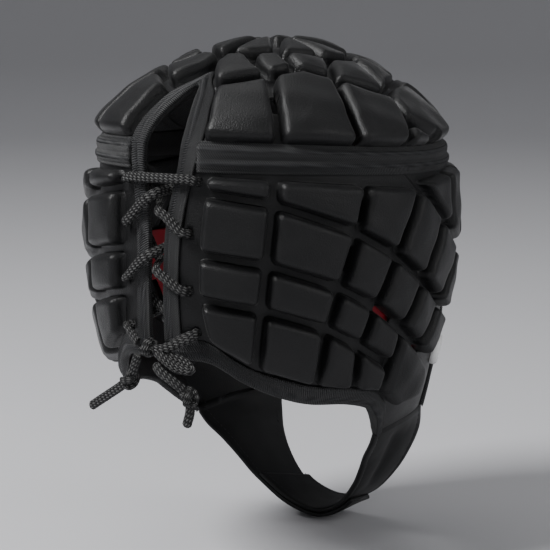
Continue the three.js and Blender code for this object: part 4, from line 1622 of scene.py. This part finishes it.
class RepeatTree:
    """Geometry Nodes that set small rounded shapes along a line: stitches, and ribs of a tape."""

    INPUTS = ("Spacing", "Along", "Across", "Thick", "Slant")

    def __init__(self) -> None:
        """Builds the tree."""
        inputs = [("Line", "NodeSocketGeometry"), *((name, FLOAT) for name in self.INPUTS)]
        inputs.append(("Material", "NodeSocketMaterial"))
        tree, make, given, out = new_group(
            "repeat_along_seam", "GeometryNodeTree", inputs, [("Geometry", "NodeSocketGeometry")]
        )
        self.tree = tree
        curve = make.add("GeometryNodeMeshToCurve", {0: given.outputs["Line"]})
        spaced = make.add(
            "GeometryNodeResampleCurve",
            {"Curve": curve.outputs[0], "Length": given.outputs["Spacing"]}, mode="LENGTH",
        )
        tangent = make.add("GeometryNodeInputTangent")
        outward = make.add(
            "GeometryNodeInputNamedAttribute", {"Name": "outward"}, data_type="FLOAT_VECTOR"
        )
        facing = make.add(
            "FunctionNodeAxesToRotation",
            {"Primary Axis": outward.outputs[0], "Secondary Axis": tangent.outputs[0]},
            primary_axis="Z", secondary_axis="X",
        )
        slant = make.add("ShaderNodeCombineXYZ", {"Z": given.outputs["Slant"]})
        turned = make.add(
            "FunctionNodeRotateRotation",
            {"Rotation": facing.outputs[0], "Rotate By": slant.outputs[0]}, rotation_space="LOCAL",
        )
        size = make.add(
            "ShaderNodeCombineXYZ",
            {"X": given.outputs["Along"], "Y": given.outputs["Across"], "Z": given.outputs["Thick"]},
        )
        bead = make.add("GeometryNodeMeshIcoSphere", {"Radius": 0.5, "Subdivisions": 1})
        placed = make.add(
            "GeometryNodeInstanceOnPoints",
            {
                "Points": spaced.outputs[0],
                "Instance": bead.outputs[0],
                "Rotation": turned.outputs[0],
                "Scale": size.outputs[0],
            },
        )
        real = make.add("GeometryNodeRealizeInstances", {0: placed.outputs[0]})
        smooth = make.add("GeometryNodeSetShadeSmooth", {0: real.outputs[0]})
        dressed = make.add(
            "GeometryNodeSetMaterial",
            {"Geometry": smooth.outputs[0], "Material": given.outputs["Material"]},
        )
        tree.links.new(dressed.outputs[0], out.inputs[0])

    def identifier(self, name: str) -> str:
        """The identifier of a named input."""
        return next(
            item.identifier
            for item in self.tree.interface.items_tree
            if item.item_type == "SOCKET" and item.in_out == "INPUT" and item.name == name
        )

    def run(
        self, name: str, lines: Sequence[SeamLine], sizes: Sequence[float], slant: float,
        material: bpy.types.Material,
    ) -> bpy.types.Object:
        """Sets the shapes along some lines.

        Args:
            name: the piece's name.
            lines: the lines to follow.
            sizes: the spacing, and the size along, across and off the line, in millimetres.
            slant: how far each shape is turned on the surface, in radians.
            material: their material.

        Returns:
            A plain mesh object.
        """
        points, edges, outs, start = [], [], [], 0
        for line in lines:
            count = len(line.points)
            points.append(line.points * METRES)
            outs.append(line.outward)
            edges += [(start + i, start + i + 1) for i in range(count - 1)]
            start += count
        guide_mesh = bpy.data.meshes.new(name + "_guide")
        guide_mesh.from_pydata(np.concatenate(points).tolist(), edges, [])
        layer = guide_mesh.attributes.new("outward", "FLOAT_VECTOR", "POINT")
        layer.data.foreach_set("vector", np.concatenate(outs).astype(np.float32).ravel())
        guide = put(name + "_guide", guide_mesh)
        modifier = guide.modifiers.new("repeat", "NODES")
        modifier.node_group = self.tree
        values = [*(size * METRES for size in sizes), slant]
        for key, value in zip(self.INPUTS, values):
            modifier[self.identifier(key)] = value
        modifier[self.identifier("Material")] = material
        graph = bpy.context.evaluated_depsgraph_get()
        made = bpy.data.meshes.new_from_object(guide.evaluated_get(graph))
        made.name = name
        bpy.data.objects.remove(guide)
        return put(name, made)


@dataclass(frozen=True)
class EarLining:
    """The thin lining inside one ear zone; its lower edge follows levels at some turns."""

    side: Side
    turns: Pair = (64, 126)
    top: float = -45
    edge_turns: tuple[float, ...] = (84, 89, 93, 103)
    left_edge: tuple[float, ...] = (-84, -70, -70, -99)
    right_edge: tuple[float, ...] = (-84, -90, -90, -99)
    lifts: Pair = (-3.1, -3.9)
    wave: float = 0.25
    wave_runs: Pair = (14, 11)
    columns: int = 44
    rows: int = 50

    def build(self) -> bpy.types.Object:
        """Makes the lining's mesh.

        Returns:
            The closed mesh.
        """
        turns = np.linspace(*self.turns, self.columns)
        edge = self.left_edge if self.side is Side.LEFT else self.right_edge
        share = np.linspace(0, 1, self.rows)[:, None]
        level = self.top * (1 - share) + np.interp(turns, self.edge_turns, edge) * share
        turn = np.broadcast_to(turns * self.side.value, level.shape)
        runs = [np.sin(np.radians(at * run)) for at, run in zip((turn, level), self.wave_runs)]
        wave = self.wave * runs[0] * runs[1]
        skin = Skin()
        skin.add(
            HEAD.cloth(Chart.WALL, turn, level),
            *(HEAD.place(Chart.WALL, turn, level, lift + wave) for lift in self.lifts),
        )
        return skin.build("ear_lining_cloth_" + self.side.word)


@dataclass(frozen=True)
class Disc:
    """The plain disc on the right cheek flap; its profile is radii and heights."""

    turn: float = 130.4
    level: float = -99.5
    around: int = 64
    profile: tuple[Pair, ...] = (
        (7.3, -0.1), (7.6, 0.3), (7.6, 1.6), (7.3, 2.6), (6.8, 3.2), (6.1, 3.5), (3.0, 3.6), (0.4, 3.6),
    )

    def build(self) -> bpy.types.Object:
        """Makes the disc's mesh.

        Returns:
            The closed mesh.
        """
        at = (Chart.WALL, np.array(self.turn), np.array(self.level))
        centre, out = HEAD.place(*at, 0.0), HEAD.outward(*at)
        x = unit(np.cross(out, UP))
        y = np.cross(out, x)
        turn = np.linspace(0, 2 * np.pi, self.around, endpoint=False)[:, None]
        rim = np.cos(turn) * x + np.sin(turn) * y
        return sweep(
            "cheek_disc_looks", np.stack([centre + rim * r + out * h for r, h in self.profile])
        )


@dataclass
class CapBuilder:
    """Builds every visible piece of the cap."""

    materials: dict[str, bpy.types.Material]
    repeat: RepeatTree
    rib_sizes: tuple[float, float, float] = (1.15, 0.55, 0.6)
    rib_slant: float = 0.5
    stitch_sizes: tuple[float, float, float, float] = (2.6, 1.7, 0.42, 0.36)
    strap_seams: tuple[Pair, ...] = ((0.1, 1.05), (0.1, -1.2), (0.9, 1.05), (0.9, -1.2))

    def dress(self, piece: bpy.types.Object, slot: str, *replaced: str) -> bpy.types.Object:
        """Dresses one piece from its slot."""
        return finish_piece(piece, slot, self.materials[slot], *replaced)

    def threads(self, name: str, lines: Sequence[SeamLine], slot: str) -> None:
        """Adds a run of stitches along some lines."""
        piece = self.repeat.run(name, lines, self.stitch_sizes, 0.0, self.materials["seam_thread"])
        finish_piece(piece, slot, self.materials["seam_thread"])

    def ribs(self, name: str, lines: Sequence[SeamLine], width: float) -> None:
        """Adds the slanted ribs of a tape, as wide as given."""
        spacing, along, thick = self.rib_sizes
        sizes = (spacing, along, width, thick)
        piece = self.repeat.run(name, lines, sizes, self.rib_slant, self.materials["seam_thread"])
        finish_piece(piece, "ribbed_tape", self.materials["seam_thread"])

    def panels(self) -> None:
        """Builds the quilted panels."""
        crown = Quilt(
            "crown_quilt", ("crown_panel",), Chart.CROWN, CROWN_SEAMS, CROWN_PADS,
            slots=CROWN_SLOTS, mirrored=True,
        )
        brow = Quilt("brow_quilt", ("brow_panel",), Chart.WALL, BROW_SEAMS, BROW_PADS, mirrored=True)
        sides = [
            Quilt(
                "side_quilt_" + side.word, ("side_panel_" + side.word,), Chart.WALL, SIDE_SEAMS,
                SIDE_PADS, slots=SIDE_SLOTS, eyelets=EYELETS[side], turn_sign=side.value,
            )
            for side in Side
        ]
        for quilt in (crown, brow, *sides):
            piece = self.dress(quilt.build(), "padded_cloth", *quilt.nodes)

    def tapes(self) -> None:
        """Builds the band, the bindings, their ribs and their stitches."""
        band = BandTape()
        self.dress(band.build(), "ribbed_tape", "band_tape")
        self.ribs("band_ribs", [band.seam_line(*at) for at in band.rib_lines], band.rib_width)
        self.threads("band_stitches", [band.seam_line(*at) for at in band.stitch_lines], "ribbed_tape")
        bindings = [
            Binding(node + "_looks", (node,), rows, FOLDED_SECTION, mirrored=True)
            for node, rows in (("slit_binding", SLIT_ROWS), ("face_binding", FACE_ROWS))
        ]
        for side in Side:
            name, node = ("hem_binding" + part + side.word for part in ("_looks_", "_"))
            bindings.append(Binding(name, (node,), HEM_ROWS, FOLDED_SECTION, turn_sign=side.value))
        for tape in bindings:
            node = tape.nodes[0]
            self.dress(tape.build(), "ribbed_tape", node)
            self.ribs(node + "_ribs", [tape.seam_line(*tape.rib_line)], tape.rib_width)
            self.threads(node + "_stitches", [tape.seam_line(*tape.stitch_line)], "ribbed_tape")

    def seam_strips(self) -> None:
        """Builds the cloth that closes the seam between the brow and each side."""
        for side in Side:
            strip = Binding(
                "brow_seam_" + side.word, (), strip_rows(), STRIP_SECTION, turn_sign=side.value
            )
            self.dress(strip.build(), "padded_cloth")

    def strap(self) -> None:
        """Builds the chin strap and its edge stitching."""
        for side in Side:
            half = ChinStrap(side)
            self.dress(half.build(), "strap_cloth", "chin_strap_" + side.word)
            lines = [half.seam_line(*at) for at in self.strap_seams]
            self.threads("chin_strap_stitches_" + side.word, lines, "strap_cloth")

    def lacing(self) -> None:
        """Builds the laced run, the bow's wound knot, its folded loop and its second strand."""
        self.dress(LACE.tube("lace_run", lace_line(lace_stations())), "lace", "lace_route")
        for name, stops in (("folded_loop", FOLDED_LOOP), ("second_strand", SECOND_STRAND)):
            self.dress(LACE.tube(name, lace_line(stops)), "lace")
        wrap = LACE.wrap("bow_knot", HEAD.station(KNOT_AT), np.array(KNOT_AXIS), KNOT_SIZE, KNOT_TURNS)
        self.dress(wrap, "lace", "lace_knot")

    def free_ends(self) -> None:
        """Builds the two free ends as cords, each with its knot."""
        for end in FREE_ENDS:
            line = lace_line(end.stations)
            word = end.side.word
            cord = self.dress(LACE.tube("free_end_" + word, line), "lace", "lace_end_" + word)
            knot_at = HEAD.station(end.knot_at)
            nearest = int(np.argmin(np.linalg.norm(line - knot_at, axis=1)))
            reach = LACE.knot_reach
            axis = line[min(nearest + reach, len(line) - 1)] - line[max(nearest - reach, 0)]
            knot = LACE.knot("end_knot_" + word, knot_at, axis, END_KNOT_SIZE, END_KNOT_SCALE)
            self.dress(knot, "lace")

    def linings(self) -> None:
        """Builds the red lining inside each ear zone."""
        for side in Side:
            self.dress(EarLining(side).build(), "red_lining", "ear_lining_" + side.word)

    def disc(self) -> None:
        """Builds the plain disc on the right cheek flap."""
        self.dress(Disc().build(), "white_disc", "cheek_disc")


@dataclass(frozen=True)
class Lamp:
    """An area light; side, up and back are metres from the target, as the camera sees it."""

    name: str
    side: float
    up: float
    back: float
    size: float
    power: float


LAMPS = (
    Lamp("key", -1.0, 1.2, 0.45, 0.6, 42), Lamp("fill", 1.3, 0.6, 0.4, 1.0, 6),
    Lamp("top", -0.1, 1.5, -0.5, 1.2, 6), Lamp("front", 0.3, 0.7, 1.6, 0.8, 5),
)


@dataclass(frozen=True)
class Studio:
    """The camera, the lights and the round backdrop."""

    azimuth: float = 211.7
    elevation: float = 8.9
    target: Station = (0.0, 0.0, -0.1083)
    distance: float = 1.208
    lens: float = 163.4
    floor: float = -0.239
    sky: tuple[float, ...] = (0.55, 0.56, 0.58, 1)
    sky_strength: float = 0.3
    # paper_near to paper_far paint a pool of light: the paper is paler near the middle and darker far
    # out
    paper_near: tuple[float, ...] = (0.53, 0.53, 0.55, 1)
    paper_far: tuple[float, ...] = (0.4, 0.4, 0.42, 1)
    paper_reach: float = 3.6
    paper_rough: float = 0.9
    around: int = 96
    paper: tuple[Pair, ...] = (
        (0.5, 0.0), (1.2, 0.0), (2.0, 0.0), (2.6, 0.05), (3.1, 0.25), (3.4, 0.6), (3.5, 1.2),
        (3.5, 3.2),
    )

    def toward_camera(self) -> Vector:
        """The unit direction from the target to the camera."""
        a, e = math.radians(self.azimuth), math.radians(self.elevation)
        return Vector((math.sin(a) * math.cos(e), -math.cos(a) * math.cos(e), math.sin(e)))

    def camera(self) -> None:
        """Makes the scene's camera."""
        data = bpy.data.cameras.new("camera")
        data.lens = self.lens
        camera = put("camera", data)
        back = self.toward_camera()
        camera.location = Vector(self.target) + back * self.distance
        camera.rotation_euler = (-back).to_track_quat("-Z", "Y").to_euler()
        bpy.context.scene.camera = camera

    def light(self, lamp: Lamp) -> None:
        """Adds an area light.

        Args:
            lamp: where it stands, its width in metres and its power in watts.
        """
        toward = self.toward_camera()
        toward.z = 0
        toward.normalize()
        right = Vector((-toward.y, toward.x, 0))
        data = bpy.data.lights.new(lamp.name, "AREA")
        data.size, data.energy = lamp.size, lamp.power
        made = put(lamp.name, data)
        target = Vector(self.target)
        made.location = target + right * lamp.side + Vector((0, 0, lamp.up)) + toward * lamp.back
        made.rotation_euler = (target - made.location).to_track_quat("-Z", "Y").to_euler()

    def backdrop(self) -> None:
        """Adds a round floor that curves up into a wall, painted paler near the middle as a pool of
        light.
        """
        turn = 2 * np.pi * np.arange(self.around) / self.around
        points = [(0.0, 0.0, self.floor)]
        for r, z in self.paper:
            points += [(r * math.cos(t), r * math.sin(t), z + self.floor) for t in turn]
        edge = [(i, (i + 1) % self.around) for i in range(self.around)]
        faces = [[0, 1 + i, 1 + j] for i, j in edge]
        for k in range(len(self.paper) - 1):
            a, b = 1 + k * self.around, 1 + (k + 1) * self.around
            faces += [[a + i, b + i, b + j, a + j] for i, j in edge]
        floor = make_mesh("floor", np.array(points) / METRES, faces)
        material, make = new_material("floor_paper")
        where = make.add("ShaderNodeTexCoord").outputs["Object"]
        far = make.add("ShaderNodeVectorMath", {0: where}, operation="LENGTH").outputs["Value"]
        # the ramp paints a pool of light, paler near the middle
        ramp = make.add("ShaderNodeValToRGB", {"Fac": make.math("DIVIDE", far, self.paper_reach)})
        ramp.color_ramp.elements[0].color = self.paper_near
        ramp.color_ramp.elements[1].color = self.paper_far
        finish = {"Base Color": ramp.outputs[0], "Roughness": self.paper_rough}
        surface = make.add("ShaderNodeBsdfPrincipled", finish)
        make.add("ShaderNodeOutputMaterial", {"Surface": surface.outputs[0]})
        floor.data.materials.append(material)

    def build(self) -> None:
        """Makes the camera, the lights, the world and the backdrop."""
        self.camera()
        for lamp in LAMPS:
            self.light(lamp)
        world = bpy.data.worlds.new("studio")
        bpy.context.scene.world = world
        world.use_nodes = True
        background = world.node_tree.nodes["Background"]
        background.inputs[0].default_value = self.sky
        background.inputs[1].default_value = self.sky_strength
        self.backdrop()


def main() -> None:
    """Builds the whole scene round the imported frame."""
    logging.basicConfig(level=logging.INFO, format="%(name)s %(message)s")
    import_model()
    Studio().build()
    groups = {Pattern.KNIT: grain_group(), Pattern.TWILL: twill_group(), Pattern.BRAID: braid_group()}
    materials = {finish.name: finish.build(groups) for finish in FINISHES}
    cap = CapBuilder(materials, RepeatTree())
    cap.free_ends()
    cap.lacing()
    cap.panels()
    cap.tapes()
    cap.seam_strips()
    cap.strap()
    cap.linings()
    cap.disc()


if __name__ == "__main__":
    main()
